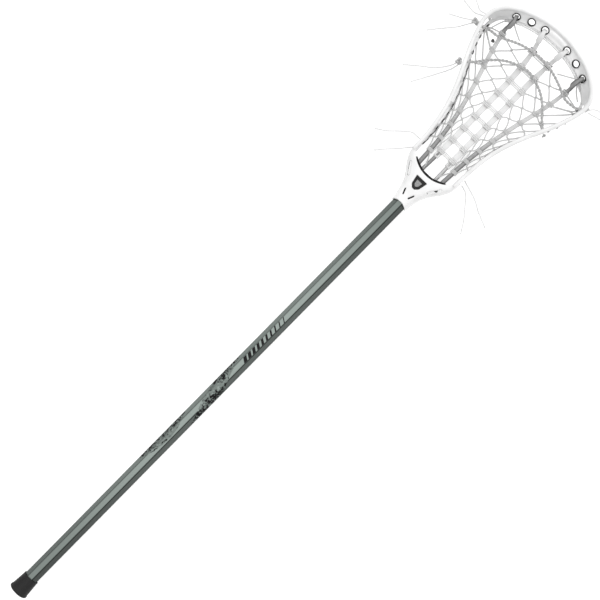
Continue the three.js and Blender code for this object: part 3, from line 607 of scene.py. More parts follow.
def make_shaft(look):
    """The hollow tube: outer skin, small chamfers at both ends and the bore."""
    outer = octagon(SHAFT_FLATS, CORNER_RADIUS)
    eased = octagon(SHAFT_FLATS - 0.0006, CORNER_RADIUS)
    inner = octagon(SHAFT_FLATS - 2 * SHAFT_WALL, CORNER_RADIUS - SHAFT_WALL)
    profile = [
        (outer, SHAFT_START + 0.0003), (outer, SHAFT_END - 0.0003), (eased, SHAFT_END),
        (inner, SHAFT_END), (inner, SHAFT_START), (eased, SHAFT_START),
    ]
    skin = Skin()
    skin.loft([[np.array([x, *p]) for p in ring] for ring, x in profile], joined=True)
    made = skin.bare("shaft_tube")
    hole = Skin()
    hole.prism(circle(0.0024, 24), -0.012, 0.0, AT_SCREW)
    cut_away(made, hole)
    return finish_piece(made, look, ["shaft"], sharp=30)


def circle(radius, sides):
    return [(radius * math.cos(2 * math.pi * k / sides), radius * math.sin(2 * math.pi * k / sides))
            for k in range(sides)]


def make_butt_cap(look):
    """A rubber cup: flared lip at the closed end, a collar, and grip rings round the sleeve."""
    sides = 96
    angles = [2 * math.pi * k / sides for k in range(sides)]
    octagon_points = np.array(octagon(SHAFT_FLATS + 2 * GAP, CORNER_RADIUS))
    around = np.unwrap(np.arctan2(octagon_points[:, 1], octagon_points[:, 0]))
    sizes = np.linalg.norm(octagon_points, axis=1)
    bore = np.interp(angles, around, sizes, period=2 * math.pi)
    outer = [
        (0.0030, 0.0001), (0.0100, 0.0), (0.0122, 0.0004), (0.0138, 0.0014), (0.0145, 0.0026),
        (0.0146, 0.0036), (0.0144, 0.0047), (0.0139, 0.0056), (0.0136, 0.0066), (0.0135, 0.0078),
    ]
    for k in range(9):
        x = 0.0092 + k * 0.0020
        taper = 0.0134 - 0.0013 * k / 8
        outer += [(taper, x), (taper - 0.00018, x + 0.0006), (taper - 0.00018, x + 0.0012)]
    outer += [(0.0121, 0.0276), (0.0120, 0.0284), (0.01195, 0.0288), (0.0119, CAP_LENGTH)]
    rings = [[np.array([x, r * math.cos(a), r * math.sin(a)]) for a in angles] for r, x in outer]
    for x, extra in ((CAP_LENGTH, 0.0004), (CAP_LENGTH - 0.0004, 0.0), (0.0030 - GAP, 0.0),
                     (0.0030 - GAP, -0.006)):
        rings.append([np.array([x, (r + extra) * math.cos(a), (r + extra) * math.sin(a)])
                      for a, r in zip(angles, bore)])
    skin = Skin()
    skin.loft(rings)
    return skin.piece("butt_cap_rubber", look, "cap_rubber", ["butt_cap"], "butt_cap")


# ---- The head's wall ----
# The left half from the throat to the tip of the scoop: x and y of the rim's outer edge, the
# height of its top, and how far in its foot lies and how high.
STATIONS = [
    (0.8380, 0.0420, 0.0134, 0.0060, -0.0134),
    (0.8620, 0.0430, 0.0170, 0.0065, -0.0142),
    (0.8880, 0.0458, 0.0215, 0.0080, -0.01448),
    (0.9100, 0.0502, 0.0248, 0.0095, -0.01448),
    (0.9320, 0.0572, 0.0275, 0.0100, -0.01448),
    (0.9550, 0.0668, 0.0300, 0.0100, -0.01448),
    (0.9770, 0.0774, 0.0320, 0.0095, -0.0144),
    (1.0000, 0.0873, 0.0340, 0.0090, -0.0126),
    (1.0210, 0.0944, 0.0363, 0.0095, -0.0080),
    (1.0380, 0.0974, 0.0390, 0.0115, 0.0015),
    (1.0530, 0.0940, 0.0425, 0.0140, 0.0140),
    (1.0660, 0.0835, 0.0460, 0.0158, 0.0250),
    (1.0770, 0.0670, 0.0487, 0.0170, 0.0315),
    (1.0855, 0.0460, 0.0505, 0.0180, 0.0348),
    (1.0908, 0.0230, 0.0516, 0.0188, 0.0365),
    (1.0925, 0.0000, 0.0520, 0.0190, 0.0370),
]
TIP = len(STATIONS) - 1
ALL_STATIONS = STATIONS + [(x, -y, top, inset, foot) for x, y, top, inset, foot in STATIONS[-2::-1]]
RIM_POINTS = np.array([(x, y, top) for x, y, top, _, _ in ALL_STATIONS])
FOOT_POINTS = np.array([(inset, foot, 0.0) for _, _, _, inset, foot in ALL_STATIONS])


class Wall:
    """The wall at a station number. A flat point has its distance out from the rim's edge in
    plan, and its height."""

    def __init__(self, station):
        t = min(max(station / (len(ALL_STATIONS) - 1), 0.0), 1.0)
        self.rim = spline(RIM_POINTS, t)
        foot = spline(FOOT_POINTS, t)
        before = spline(RIM_POINTS, max(t - 1e-4, 0.0))
        after = spline(RIM_POINTS, min(t + 1e-4, 1.0))
        self.along = unit((after - before) * (1, 1, 0))
        self.outward = np.array([-self.along[1], self.along[0], 0.0])
        self.head = np.array([-RIM_BEAD, self.rim[2] - RIM_BEAD])
        self.toe = np.array([-foot[0] + FOOT_BEAD, foot[1] + FOOT_BEAD])
        self.down = unit(self.toe - self.head)
        self.outside = np.array([-self.down[1], self.down[0]])

    def place(self, flat):
        return np.array([self.rim[0], self.rim[1], 0.0]) + self.outward * flat[0] + (0, 0, flat[1])

    def ring(self, turns=3):
        """The wall's outline: a thick bead along the rim, a web and a bead along the foot."""
        half = [
            (self.head, -0.92 * RIM_BEAD, 0.4 * RIM_BEAD), (self.head, -0.3 * RIM_BEAD, RIM_BEAD),
            (self.head, 0.5 * RIM_BEAD, RIM_BEAD), (self.head, 1.4 * RIM_BEAD, WALL_HALF),
            (self.toe, -1.4 * FOOT_BEAD, WALL_HALF), (self.toe, -0.4 * FOOT_BEAD, FOOT_BEAD),
            (self.toe, 0.4 * FOOT_BEAD, FOOT_BEAD), (self.toe, FOOT_BEAD, 0.4 * FOOT_BEAD),
        ]
        flat = [start + self.down * down + self.outside * out for start, down, out in half]
        flat += [start + self.down * down - self.outside * out
                 for start, down, out in reversed(half)]
        closed = np.array(flat + flat[:3])
        closed = np.array([flat[-1]] + list(closed))
        rounded = []
        for k in range(1, len(flat) + 1):
            p0, p1, p2, p3 = closed[k - 1:k + 3]
            for step in range(turns):
                w = step / turns
                rounded.append(0.5 * (2 * p1 + w * (p2 - p0) + w * w * (2 * p0 - 5 * p1 + 4 * p2 - p3)
                                      + w ** 3 * (3 * p1 - p0 - 3 * p2 + p3)))
        return [self.place(p) for p in rounded]

    def middle(self, share):
        return self.place(self.head + (self.toe - self.head) * share)


def wall_basis(station, share):
    """X along the rail, Y up the wall and Z out through it, at a share of the way to the foot."""
    wall = Wall(station)
    along = unit(Wall(station + 0.2).middle(share) - Wall(station - 0.2).middle(share))
    up = unit(np.cross(wall.outward, along))
    out = unit(np.cross(along, up))
    basis = np.eye(4)
    basis[:3, :4] = np.column_stack([along, up, out, wall.middle(share)])
    return basis


def rounded_rectangle(length, height, radius, steps=6):
    points = []
    corners = ((1, 1, 0), (-1, 1, 90), (-1, -1, 180), (1, -1, 270))
    for sx, sy, start in corners:
        for k in range(steps + 1):
            a = math.radians(start + 90 * k / steps)
            points.append((sx * (length / 2 - radius) + radius * math.cos(a),
                           sy * (height / 2 - radius) + radius * math.sin(a)))
    return points


# Windows of one sidewall: middle station, length and height. Lacing slots: stations.
WINDOWS = [
    (1.15, 0.026, 0.011), (2.65, 0.030, 0.015), (4.2, 0.032, 0.019), (5.75, 0.032, 0.022),
    (7.3, 0.031, 0.022), (8.65, 0.022, 0.017),
]
SLOTS = np.linspace(0.75, 8.9, 16)
SLOT_SHARE = 0.9                # how far down the wall the slots lie
SLOT_LENGTH = 0.0048
SLOT_HEIGHT = 0.0024


def both_sides(station):
    return (station, 2 * TIP - station)


def make_basket():
    skin = Skin()
    rings = 8
    skin.loft([Wall(k / rings).ring() for k in range(2 * TIP * rings + 1)])
    basket = skin.bare("basket")
    windows, slots = Skin(), Skin()
    for middle, length, height in WINDOWS:
        for station in both_sides(middle):
            outline = rounded_rectangle(length, height, 0.0045)
            windows.prism(outline, -0.012, 0.012, wall_basis(station, 0.5))
    for slot in SLOTS:
        for station in both_sides(slot):
            outline = rounded_rectangle(SLOT_LENGTH, SLOT_HEIGHT, 0.0011)
            slots.prism(outline, -0.008, 0.008, wall_basis(station, SLOT_SHARE))
    bores, seats = Skin(), Skin()
    for hole in HOLES:
        bores.prism(circle(RING_BARREL + GAP, 40), -0.008, 0.008, hole.basis())
        seats.prism(circle(RING_OUTER + GAP, 40), WALL_HALF, 0.008, hole.basis())
    cut_away(basket, windows, slots, bores, seats)
    return basket


# ---- The scoop's holes and their rings ----
RING_OUTER = 0.0060
RING_BARREL = 0.0052
RING_BORE = 0.0046
HOLE_FROM_EDGE = 0.0076


class ScoopHole:
    """A hole through the scoop, found at the station where its middle lies at the given y."""

    def __init__(self, y):
        low, high = TIP - 6.0, float(TIP)
        for _ in range(30):
            station = (low + high) / 2
            wall = Wall(station)
            edge = wall.toe + wall.down * (FOOT_BEAD - HOLE_FROM_EDGE)
            centre = wall.place(edge)
            if centre[1] > abs(y):
                low = station
            else:
                high = station
        mirror = np.array([1.0, math.copysign(1.0, y), 1.0])
        inward = -wall.outward * mirror
        self.centre = centre * mirror
        self.face = inward * wall.outside[0] - (0, 0, wall.outside[1])
        self.slope = inward * wall.down[0] - (0, 0, wall.down[1])
        self.across = wall.along * mirror

    def basis(self):
        x = unit(np.cross(self.slope, self.face))
        basis = np.eye(4)
        basis[:3, :4] = np.column_stack([x, self.slope, self.face, self.centre])
        return basis

    def at(self, up, out, lean=0.0):
        """A point measured up the slope from the scoop's inner edge, and out from its face."""
        drop = HOLE_FROM_EDGE - up
        return self.centre - self.slope * drop + self.face * out + self.across * lean * drop

    def lean(self, target):
        """How far sideways a straight way to the target goes for each step down the slope."""
        way = np.array(target) - self.centre
        return float(way @ self.across) / max(float(-way @ self.slope), 0.001)


HOLES = [ScoopHole(y) for y in (0.0635, 0.0425, 0.0209, -0.0209, -0.0425, -0.0635)]


def make_scoop_ring(number, hole, look):
    low, high = WALL_HALF + GAP, WALL_HALF + GAP + 0.0008
    profile = [
        (RING_BORE + 0.0003, -0.0006), (RING_BARREL, -0.0006), (RING_BARREL, low),
        (RING_OUTER, low), (RING_OUTER, high - 0.0003), (RING_OUTER - 0.0003, high),
        (RING_BORE + 0.0005, high), (RING_BORE, high - 0.0005), (RING_BORE, -0.0003),
    ]
    skin = Skin()
    skin.lathe(profile, hole.basis(), 56)
    skin.piece(f"scoop_ring_trim_{number}", look, "ring_black", [f"scoop_ring_{number}"])


# ---- The throat ----
THROAT = np.array([
    (LIP_X, 0.0128, 0.0132), (0.781, 0.0150, 0.0136), (0.796, 0.0192, 0.0138),
    (0.808, 0.0262, 0.0138), (0.818, 0.0336, 0.0137), (0.829, 0.0398, 0.0135),
    (0.840, 0.0422, 0.0134), (0.852, 0.0426, 0.0134),
])
BADGE_X = 0.8055


def throat_half_width(x):
    return float(np.interp(x, THROAT[:, 0], THROAT[:, 1]))


def throat_ring(x, half, top, sides=72):
    """A flat-backed oval whose corners tighten as the throat widens."""
    power = np.interp(half, [0.0128, 0.042], [0.86, 0.42])
    ring = []
    for k in range(sides):
        c = math.cos(2 * math.pi * (k + 0.5) / sides)
        s = math.sin(2 * math.pi * (k + 0.5) / sides)
        ring.append(np.array([x, half * math.copysign(abs(c) ** power, c),
                              top * math.copysign(abs(s) ** power, s)]))
    return ring


def x_prism(skin, outline, low, high):
    """A prism along X of an outline in the Y-Z plane."""
    skin.loft([[np.array([x, *p]) for p in outline] for x in (low, high)])


def throat_hollow():
    """The space behind the throat plate, between the struts and the ball-stop wall."""
    side = [(x, throat_half_width(x) - 0.0052) for x in (SHAFT_END + 0.004, 0.814, 0.820, 0.826)]
    radius = ARC_RADIUS + ARC_WALL
    for angle in range(44, -1, -4):
        a = math.radians(angle)
        side.append((ARC_CENTRE_X - radius * math.cos(a), radius * math.sin(a)))
    outline = side + [(x, -y) for x, y in reversed(side[:-1])]
    skin = Skin()
    skin.prism(outline, -0.020, PLATE_UNDERSIDE)
    return skin


def strut_slots():
    """A slot through the plate beside each strut."""
    places = np.linspace(0.805, 0.823, 10)
    skin = Skin()
    for sign in (1, -1):
        outer = [(x, sign * (throat_half_width(x) - 0.0046)) for x in places]
        inner = [(x, sign * (throat_half_width(x) - 0.0078)) for x in reversed(places)]
        skin.prism(outer + inner, 0.003, 0.020)
    return skin


def sight_slots():
    """Two slanted slots in the front of the socket, through which the shaft's painted shade shows
    dark.
    """
    skin = Skin()
    for sign in (1, -1):
        basis = Matrix.Translation((0.7855, sign * 0.0066, 0)) @ Matrix.Rotation(sign * 0.38, 4, "Z")
        skin.prism(rounded_rectangle(0.011, 0.002, 0.0009), 0.005, 0.020, basis)
    return skin


def shield(grow):
    return [(BADGE_X + x, y) for x, y in (
        (0.009 + grow, 0.0095 + grow), (-0.0045, 0.0066 + grow), (-0.009 - grow, 0.002 + grow),
        (-0.009 - grow, -0.002 - grow), (-0.0045, -0.0066 - grow), (0.009 + grow, -0.0095 - grow),
    )]


def thong_slots():
    skin = Skin()
    for y in (0.022, 0.012, -0.012, -0.022):
        basis = Matrix.Translation((0.826, y, THONG_LOW))
        skin.prism(rounded_rectangle(0.024, 0.0084, 0.001), -0.0017, 0.0017, basis)
    return skin


def make_throat():
    skin = Skin()
    stations = [spline(THROAT, k / 56) for k in range(57)]
    skin.loft([throat_ring(*station) for station in stations])
    throat = skin.bare("throat")
    ball, socket, scallop, recess, screw = (Skin() for _ in range(5))
    ball.prism(circle(ARC_RADIUS, 160), -0.030, 0.030, Matrix.Translation((ARC_CENTRE_X, 0, 0)))
    x_prism(socket, octagon(SHAFT_FLATS + 2 * GAP, CORNER_RADIUS), LIP_X - 0.005, SHAFT_END + GAP)
    scallop.prism(circle(0.020, 96), -0.020, 0.020, Matrix.Translation((LIP_X - 0.016, 0, 0)))
    recess.prism(shield(GAP), 0.0126, 0.020)
    screw.prism(circle(0.0031, 24), -0.020, 0.0, AT_SCREW)
    seat = Skin()
    seat.prism(circle(0.0046, 32), -0.020, -0.0112, AT_SCREW)
    cut_away(throat, ball, throat_hollow(), strut_slots(), socket, scallop, sight_slots(), recess,
             screw, seat, thong_slots())
    return throat


def make_head(look, slot_shade_look):
    """The basket and the throat become one skin, with every moulded edge slightly rounded."""
    head = make_throat()
    basket = make_basket()
    work = bmesh.new()
    work.from_mesh(head.data)
    work.from_mesh(basket.data)
    work.to_mesh(head.data)
    work.free()
    bpy.data.objects.remove(basket)
    remesh = head.modifiers.new("remesh", "REMESH")
    remesh.mode = "VOXEL"
    remesh.voxel_size = 0.0008
    soften = head.modifiers.new("soften", "SMOOTH")
    soften.iterations = 5
    bake_modifiers(head)
    head.name = "head_shell"
    finish_piece(head, look, ["head"], sharp=180)
    # Painted shade: a near-black second material for the slots' walls.
    head.data.materials.append(slot_shade_look)
    paint_slot_shade(head)
    return head


def paint_slot_shade(head):
    """The lacing slots' walls get a near-black material: painted shade for the dark inside of each
    slot.
    """
    mesh = head.data
    centres = np.zeros(len(mesh.polygons) * 3, np.float32)
    mesh.polygons.foreach_get("center", centres)
    local = np.column_stack([centres.reshape(-1, 3) - ORIGIN, np.ones(len(mesh.polygons))])
    inside = np.zeros(len(mesh.polygons), bool)
    for slot in SLOTS:
        for station in both_sides(slot):
            x, y, z, _ = (local @ np.linalg.inv(wall_basis(station, SLOT_SHARE)).T).T
            inside |= ((np.abs(x) < SLOT_LENGTH / 2 + 0.0003)
                       & (np.abs(y) < SLOT_HEIGHT / 2 + 0.0003) & (np.abs(z) < 0.004))
    mesh.polygons.foreach_set("material_index", inside.astype(np.int32))


# ---- Small fittings ----
def make_ball_stop(look):
    """A foam strip stuck round the arched wall, a little thinner towards its ends."""
    outer = ARC_RADIUS - GAP
    thickness = 0.0030
    low, high = -0.005, 0.012
    edge = 0.0011
    rings = []
    for k in range(81):
        share = k / 40 - 1
        angle = math.radians(38 * share)
        front = outer - thickness + (thickness - 0.0018) * share ** 4
        front -= 0.00025 * math.cos(3 * math.pi * share) * (1 - share ** 2)
        section = [
            (outer, high), (outer, low), (front + edge, low), (front + 0.3 * edge, low + 0.3 * edge),
            (front, low + edge), (front - 0.0002, 0.0035), (front, high - edge),
            (front + 0.3 * edge, high - 0.3 * edge), (front + edge, high),
        ]
        rings.append([np.array([ARC_CENTRE_X - r * math.cos(angle), r * math.sin(angle), z])
                      for r, z in section])
    skin = Skin()
    skin.loft(rings)
    pad = skin.piece("ball_stop_pad", look, "pad_foam", ["ball_stop"])


def make_badge(look, inlay_look):
    """A plain black shield with a raised edge and a small plain grey shield set in its middle."""
    skin = Skin()
    skin.prism(shield(0), 0.0129, 0.0141)
    plate = skin.bare("badge_plate")
    field = Skin()
    field.prism([(BADGE_X + 0.88 * (x - BADGE_X), 0.86 * y) for x, y in shield(0)], 0.0138, 0.020)
    cut_away(plate, field)
    soften = plate.modifiers.new("ease", "BEVEL")
    soften.width = 0.00015
    soften.segments = 2
    bake_modifiers(plate)
    finish_piece(plate, look, ["throat_badge"], sharp=30)
    inlay = Skin()
    inner = [(BADGE_X - 0.0003 + 0.50 * (x - BADGE_X), 0.48 * y) for x, y in shield(0)]
    inlay.prism(inner, 0.01381, 0.0141)
    inlay.piece("badge_centre", inlay_look, "badge_inlay")


def make_screw(look):
    """A pan-head screw with a cross recess, seen from the back of the head."""
    top = -0.0120 - GAP
    profile = [
        (0.0003, top - 0.0022), (0.0018, top - 0.0021), (0.0029, top - 0.0018),
        (0.0035, top - 0.0012), (0.0036, top - 0.0006), (0.0036, top), (0.0021, top),
        (0.0021, -0.0020), (0.0008, -0.0006), (0.0003, -0.0003),
    ]
    skin = Skin()
    skin.lathe(profile, AT_SCREW, 48)
    core = Skin()
    core.prism(circle(0.0005, 16), top - 0.0022, -0.0004, AT_SCREW)
    made = skin.bare("head_screw_steel")
    add_solid(made, core)
    cross = [Skin(), Skin()]
    for arm, size in zip(cross, ((0.0036, 0.0007), (0.0007, 0.0036))):
        arm.prism(rounded_rectangle(*size, 0.0003), top - 0.004, top - 0.0009, AT_SCREW)
    cut_away(made, *cross)
    finish_piece(made, look, ["head_screw"], "head_screw", sharp=30)


def add_solid(target, skin):
    """Joins the solid of a skin onto an object."""
    other = skin.bare("joined")
    modifier = target.modifiers.new("join", "BOOLEAN")
    modifier.operation = "UNION"
    modifier.solver = "MANIFOLD"
    modifier.object = other
    bake_modifiers(target)
    bpy.data.objects.remove(other)


# ---- The pocket's shape ----
class Profile:
    """A smooth line through (x, value) points, read by x."""

    def __init__(self, points):
        points = np.array([(x, value, 0.0) for x, value in points])
        self.end = points[-1][0]
        line = np.array([spline(points, k / 400) for k in range(401)])
        self.x, self.values = line[:, 0], line[:, 1]

    def at(self, x):
        return float(np.interp(x, self.x, self.values))


SAG = Profile([
    (0.816, THONG_LOW), (0.838, -0.0092), (0.870, -0.0106), (0.930, -0.0112), (0.980, -0.0098),
    (1.010, -0.005), (1.035, 0.006), (1.055, 0.022), (1.068, 0.035), (1.080, 0.046),
])
OUTER_SPREAD = Profile([(0.830, 0.022), (0.874, 0.0247), (0.912, 0.0293), (0.960, 0.0386),
                        (1.014, 0.0524), (1.048, 0.0595)])
OUTER_SPREAD_LEFT = Profile([(0.830, 0.022), (0.874, 0.0247), (0.912, 0.0302), (0.960, 0.0418),
                             (1.014, 0.0582), (1.048, 0.0650)])
INNER_SPREAD = Profile([(0.830, 0.012), (0.886, 0.0108), (0.960, 0.0112), (1.025, 0.0122),
                        (1.052, 0.0148)])
FOOT_LINE = np.array([w.place(w.toe - w.outside * FOOT_BEAD) for w in map(Wall, range(11))])
RAIL_LINE = np.array([w.middle(SLOT_SHARE) - w.outward * 0.0030 for w in map(Wall, range(11))])


def foot_at(x):
    """The inner side of the wall's foot at a place along the stick: half width and height."""
    return (float(np.interp(x, FOOT_LINE[:, 0], FOOT_LINE[:, 1])),
            float(np.interp(x, FOOT_LINE[:, 0], FOOT_LINE[:, 2])))


def rail_point(x, side):
    """The middle of a cord that lies against the rail's inner side at the slots' height."""
    half, height = (float(np.interp(x, RAIL_LINE[:, 0], RAIL_LINE[:, i])) for i in (1, 2))
    return np.array([x, side * half, height])


def net_height(x, y):
    half, height = foot_at(x)
    share = min(1.0, abs(y) / half) ** 2
    return SAG.at(x) + (height + 0.0015 - SAG.at(x)) * share


def above_net(x, y, height):
    """A point a given height above the net's middle layer, measured square to it."""
    step = 0.001
    slope_x = (net_height(x + step, y) - net_height(x - step, y)) / (2 * step)
    slope_y = (net_height(x, y + step) - net_height(x, y - step)) / (2 * step)
    up = unit([-slope_x, -slope_y, 1.0])
    return np.array([x, y, net_height(x, y)]) + up * height


# ---- Thongs ----
OUTER_WIDTH = 0.0066
INNER_WIDTH = 0.0086
RING_WIDTH = 0.0062             # what a thong narrows to where it goes through its ring
STRAP_WIDTH = 0.0054
TAB_WIDTH = 0.0088


def over_scoop(hole, target):
    """The way from a target over the scoop's inner edge, down through the ring and back under
    the edge. The part above the edge leans so that it points at the target."""
    lean = hole.lean(target)
    above = [(-0.0065, 0.0033), (-0.0005, 0.0042), (0.0046, 0.0040)]
    below = [(0.0076, 0.0), (0.0052, -0.0044), (0.0, -0.0046), (-0.0060, -0.0044)]
    return ([hole.at(up, out, lean) for up, out in above]
            + [hole.at(up, out) for up, out in below])


def overhand_knot(skin, centre, size, radius, seed=0.0):
    """A pulled-tight overhand knot: a closed three-lobed line squeezed to the given size."""
    angles = 2 * math.pi * np.arange(72) / 72
    line = np.column_stack([np.sin(angles) + 2 * np.sin(2 * angles),
                            np.cos(angles) - 2 * np.cos(2 * angles), -1.6 * np.sin(3 * angles)])
    reach = (np.array(size) - radius) / np.array([3.0, 3.0, 1.6])
    turn = np.array(Matrix.Rotation(seed, 3, "Z"))
    skin.hoop(np.array(centre) + (line @ turn.T) * reach, radius, 10)


def thong_slit_tab(skin, hole, width, lean):
    """The end that comes back over the ring's edge, through the thong's slit and lies on it."""
    line = route([hole.at(s, n, lean) for s, n in (
        (0.0046, 0.0046), (0.0010, 0.0062), (-0.0040, 0.0066), (-0.0095, 0.0060),
        (-0.0125, 0.0052))], 0.0008)
    widths = np.interp(np.linspace(0, 1, len(line)), [0, 0.3, 0.85, 1], [0.6, 0.95, 0.95, 0.6])
    skin.ribbon(line, hole.across, widths * width, 0.0016)


def make_thong(name, word, side, hole, look, spread, anchor, width):
    """One strap from its knot behind the ball-stop wall to its loop through the scoop."""
    wall_back = ARC_CENTRE_X - math.sqrt((ARC_RADIUS + ARC_WALL) ** 2 - anchor ** 2)
    knot_x = wall_back - 0.0034 - 2 * GAP
    tied = name == "inner"
    start = [(knot_x, side * anchor, THONG_LOW), (wall_back, side * anchor, THONG_LOW),
             (0.830, side * anchor, THONG_LOW)]
    strapped = Skin()
    overhand_knot(strapped, (knot_x, side * anchor, THONG_LOW), (0.0034, 0.0044, 0.0034), 0.0012)
    body = []
    first_x = INNER_START_X if tied else THONG_FREE_X
    for x in np.linspace(first_x, spread.end - 0.002, THONG_STEPS):
        half = spread.at(x)
        body.append((x, side * half, net_height(x, half)))
    skin = Skin()
    points = start + body
    if tied:
        low = np.linspace(THONG_FREE_X, STRAP_END_X, 4)
        strap = route(start + [(x, side * spread.at(x), net_height(x, spread.at(x)) - STRAP_DROP)
                               for x in low], 0.0015)
        strapped.ribbon(strap, (0, 1.0, 0), STRAP_WIDTH, 0.0015)
        slit = np.array([above_net(x, side * spread.at(x), 0.0012)
                         for x in np.linspace(0.8562, 0.8622, 6)])
        strapped.ribbon(slit, (0, 1.0, 0), 0.0028, 0.0012)
        half = side * spread.at(0.858)
        fold = [(0.868, -0.0029), (0.861, -0.0030), (0.8556, -0.0028), (0.8542, -0.0015),
                (0.8556, -0.0002)]
        points = [(x, half, net_height(x, half) + rise) for x, rise in fold] + body
    bend = len(points)
    points = points + over_scoop(hole, body[-1])
    line = route(points, 0.0012)
    share = np.linspace(0, 1, len(line))
    turned = np.clip((share * len(points) - bend) / 2 + 0.5, 0, 1)[:, None]
    sideways = np.array([0, 1.0, 0]) * (1 - turned) + hole.across * np.sign(hole.across[1]) * turned
    narrowed = width + (RING_WIDTH - width) * turned[:, 0]
    skin.ribbon(line, sideways, narrowed, THONG_THICKNESS)
    thong_slit_tab(skin, hole, TAB_WIDTH, hole.lean(body[-1]))
    slot = "grey_thong" if name == "outer" else "white_thong"
    skin.piece(f"thong_{name}_{word}_strap", look, slot, [f"thong_{name}_{word}"])
    return strapped


# ---- Lacing ----
def wrap_line(centre, across, up, half_width, half_height):
    """A closed flat oval round a strap."""
    angles = 2 * math.pi * np.arange(36) / 36
    c, s = np.cos(angles), np.sin(angles)
    flat = np.sign(c) * np.abs(c) ** 0.55
    tall = np.sign(s) * np.abs(s) ** 0.75
    return (np.array(centre) + np.outer(flat * half_width, across)
            + np.outer(tall * half_height, up))


def net_up(x, y):
    return unit(above_net(x, y, 1.0) - above_net(x, y, 0.0))


def wraps(skin, x, y, width, count, spacing, radius):
    """A few turns of lace side by side round a strap that runs along the stick."""
    for k in range(count):
        place = x + (k - (count - 1) / 2) * spacing
        centre = (place, y, net_height(place, y))
        skin.hoop(wrap_line(centre, (0, 1, 0), net_up(place, y), width / 2 + radius + 0.0001,
                            THONG_THICKNESS / 2 + radius + 0.0001), radius, 8)


def ladder_x(row):
    return LADDER_START + row * LADDER_PITCH


RUNG_CORD = 0.00095
RUNG_STEP = 0.0024              # between the three cords of a rung
RUNG_ABOVE = 0.0032
WEFT_CORD = 0.0005
WEFT_STEP = 0.0021
WEFT_LIFT = 0.0011


def make_ladder(look, binding_shade_look):
    """Nine flat rungs of three cords between the inner thongs. Over each thong a rung is woven
    through four short cords, on top of the turns that bind it."""
    rungs, binding = Skin(), Skin()
    for row in range(LADDER_ROWS):
        x = ladder_x(row)
        half = INNER_SPREAD.at(x)
        reach = half + INNER_WIDTH / 2 + 0.0014
        for shift in (-RUNG_STEP, 0, RUNG_STEP):
            points = [above_net(x + shift, y, RUNG_ABOVE) for y in np.linspace(-reach, reach, 9)]
            points[0] -= (0, 0, 0.0016)
            points[-1] -= (0, 0, 0.0016)
            rungs.tube(route(points, 0.0012), RUNG_CORD, 10)
        for side in (1, -1):
            wraps(binding, x, side * half, INNER_WIDTH, 3, RUNG_STEP, 0.0007)
            for k in range(4):
                y = side * half + (k - 1.5) * WEFT_STEP
                lifts = [RUNG_ABOVE + WEFT_LIFT * (-1) ** (j + k) for j in range(3)]
                lifts = [RUNG_ABOVE - WEFT_LIFT, *lifts, RUNG_ABOVE - WEFT_LIFT]
                places = RUNG_STEP * np.array([-1.8, -1, 0, 1, 1.8])
                weft = [above_net(x + place, y, lift) for place, lift in zip(places, lifts)]
                rungs.tube(route(weft, 0.0008), WEFT_CORD, 8)
    rungs.piece("ladder_rungs", look, "pocket_lace", ["ladder_lacing"])
    # Near-black turns: painted shade that shows in the gaps of the woven rungs.
    binding.piece("ladder_binding", binding_shade_look, "pocket_lace")


def hooked_loops(skin, near, far):
    """Two cords between two rows of anchors. Each runs in loops from its own row, and the loops
    hook into each other in the middle of every cell."""
    cords = ([], [])
    for k in range(len(near) - 1):
        cell = np.array([near[k], near[k + 1], far[k], far[k + 1]])
        middle = cell.mean(axis=0)
        gap = (cell[2] + cell[3] - cell[0] - cell[1]) / 2
        toward = unit(gap)
        hook = min(0.0045, 0.24 * float(np.linalg.norm(gap)))
        for cord, row, sign in ((cords[0], near, 1), (cords[1], far, -1)):
            along = unit(row[k + 1] - row[k])
            rise = np.array([0, 0, sign * 0.0009])
            cord += [row[k] - along * 0.0008, row[k] + along * 0.0008,
                     middle - toward * sign * hook - along * 0.0034,
                     middle + toward * sign * 0.0012 + rise,
                     middle - toward * sign * hook + along * 0.0034]
        if k == len(near) - 2:
            cords[0].append(near[-1])
            cords[1].append(far[-1])
    for cord in cords:
        skin.tube(route(cord, 0.0013), NET_RADIUS, 8)


def make_cross_lacing(side, word, spread, look, knot_look):
    """The net on one side: loops from inner to outer thong, and from outer thong to the rail."""
    skin = Skin()
    inner_edge, outer_inside, outer_outside, rail = [], [], [], []
    for row in range(LADDER_ROWS):
        x = ladder_x(row)
        outer_x = x - 0.0095
        outer = spread.at(outer_x)
        wraps(skin, outer_x, side * outer, OUTER_WIDTH, 3, 0.0018, NET_RADIUS)
        inner = INNER_SPREAD.at(x) + INNER_WIDTH / 2 + 0.0015
        half = OUTER_WIDTH / 2 + 0.0008
        inner_edge.append(above_net(x, side * inner, 0.0012))
        outer_inside.append(above_net(outer_x, side * (outer - half), 0.0012))
        outer_outside.append(above_net(outer_x, side * (outer + half), 0.0012))
        rail.append(rail_point(min(x + 0.0020, 1.034), side))
    hooked_loops(skin, inner_edge, outer_inside)
    hooked_loops(skin, outer_outside[:-2], rail[:-2])
    for start, bend in ((-3, -2), (-2, -1)):
        skin.tube(route([outer_outside[start], rail[bend], outer_outside[bend]], 0.0013),
                  NET_RADIUS, 8)
    start_y = side * 0.0095
    start_x = ARC_CENTRE_X - math.sqrt(ARC_RADIUS ** 2 - start_y ** 2) - 0.001
    tie = [(start_x, start_y, THONG_LOW), (0.840, side * 0.0145, -0.0088),
           (0.8535, side * 0.0215, -0.0090)]
    skin.tube(route(tie, 0.0013), NET_RADIUS, 8)
    skin.piece(f"cross_lacing_{word}_net", look, "pocket_lace", [f"cross_lacing_{word}"])
    if side > 0:
        knot = Skin()
        overhand_knot(knot, above_net(1.0275, 0.0672, 0.0024), (0.0030, 0.0030, 0.0022), 0.0009)
        knot.piece("net_knot", knot_look, "shooting_cord")


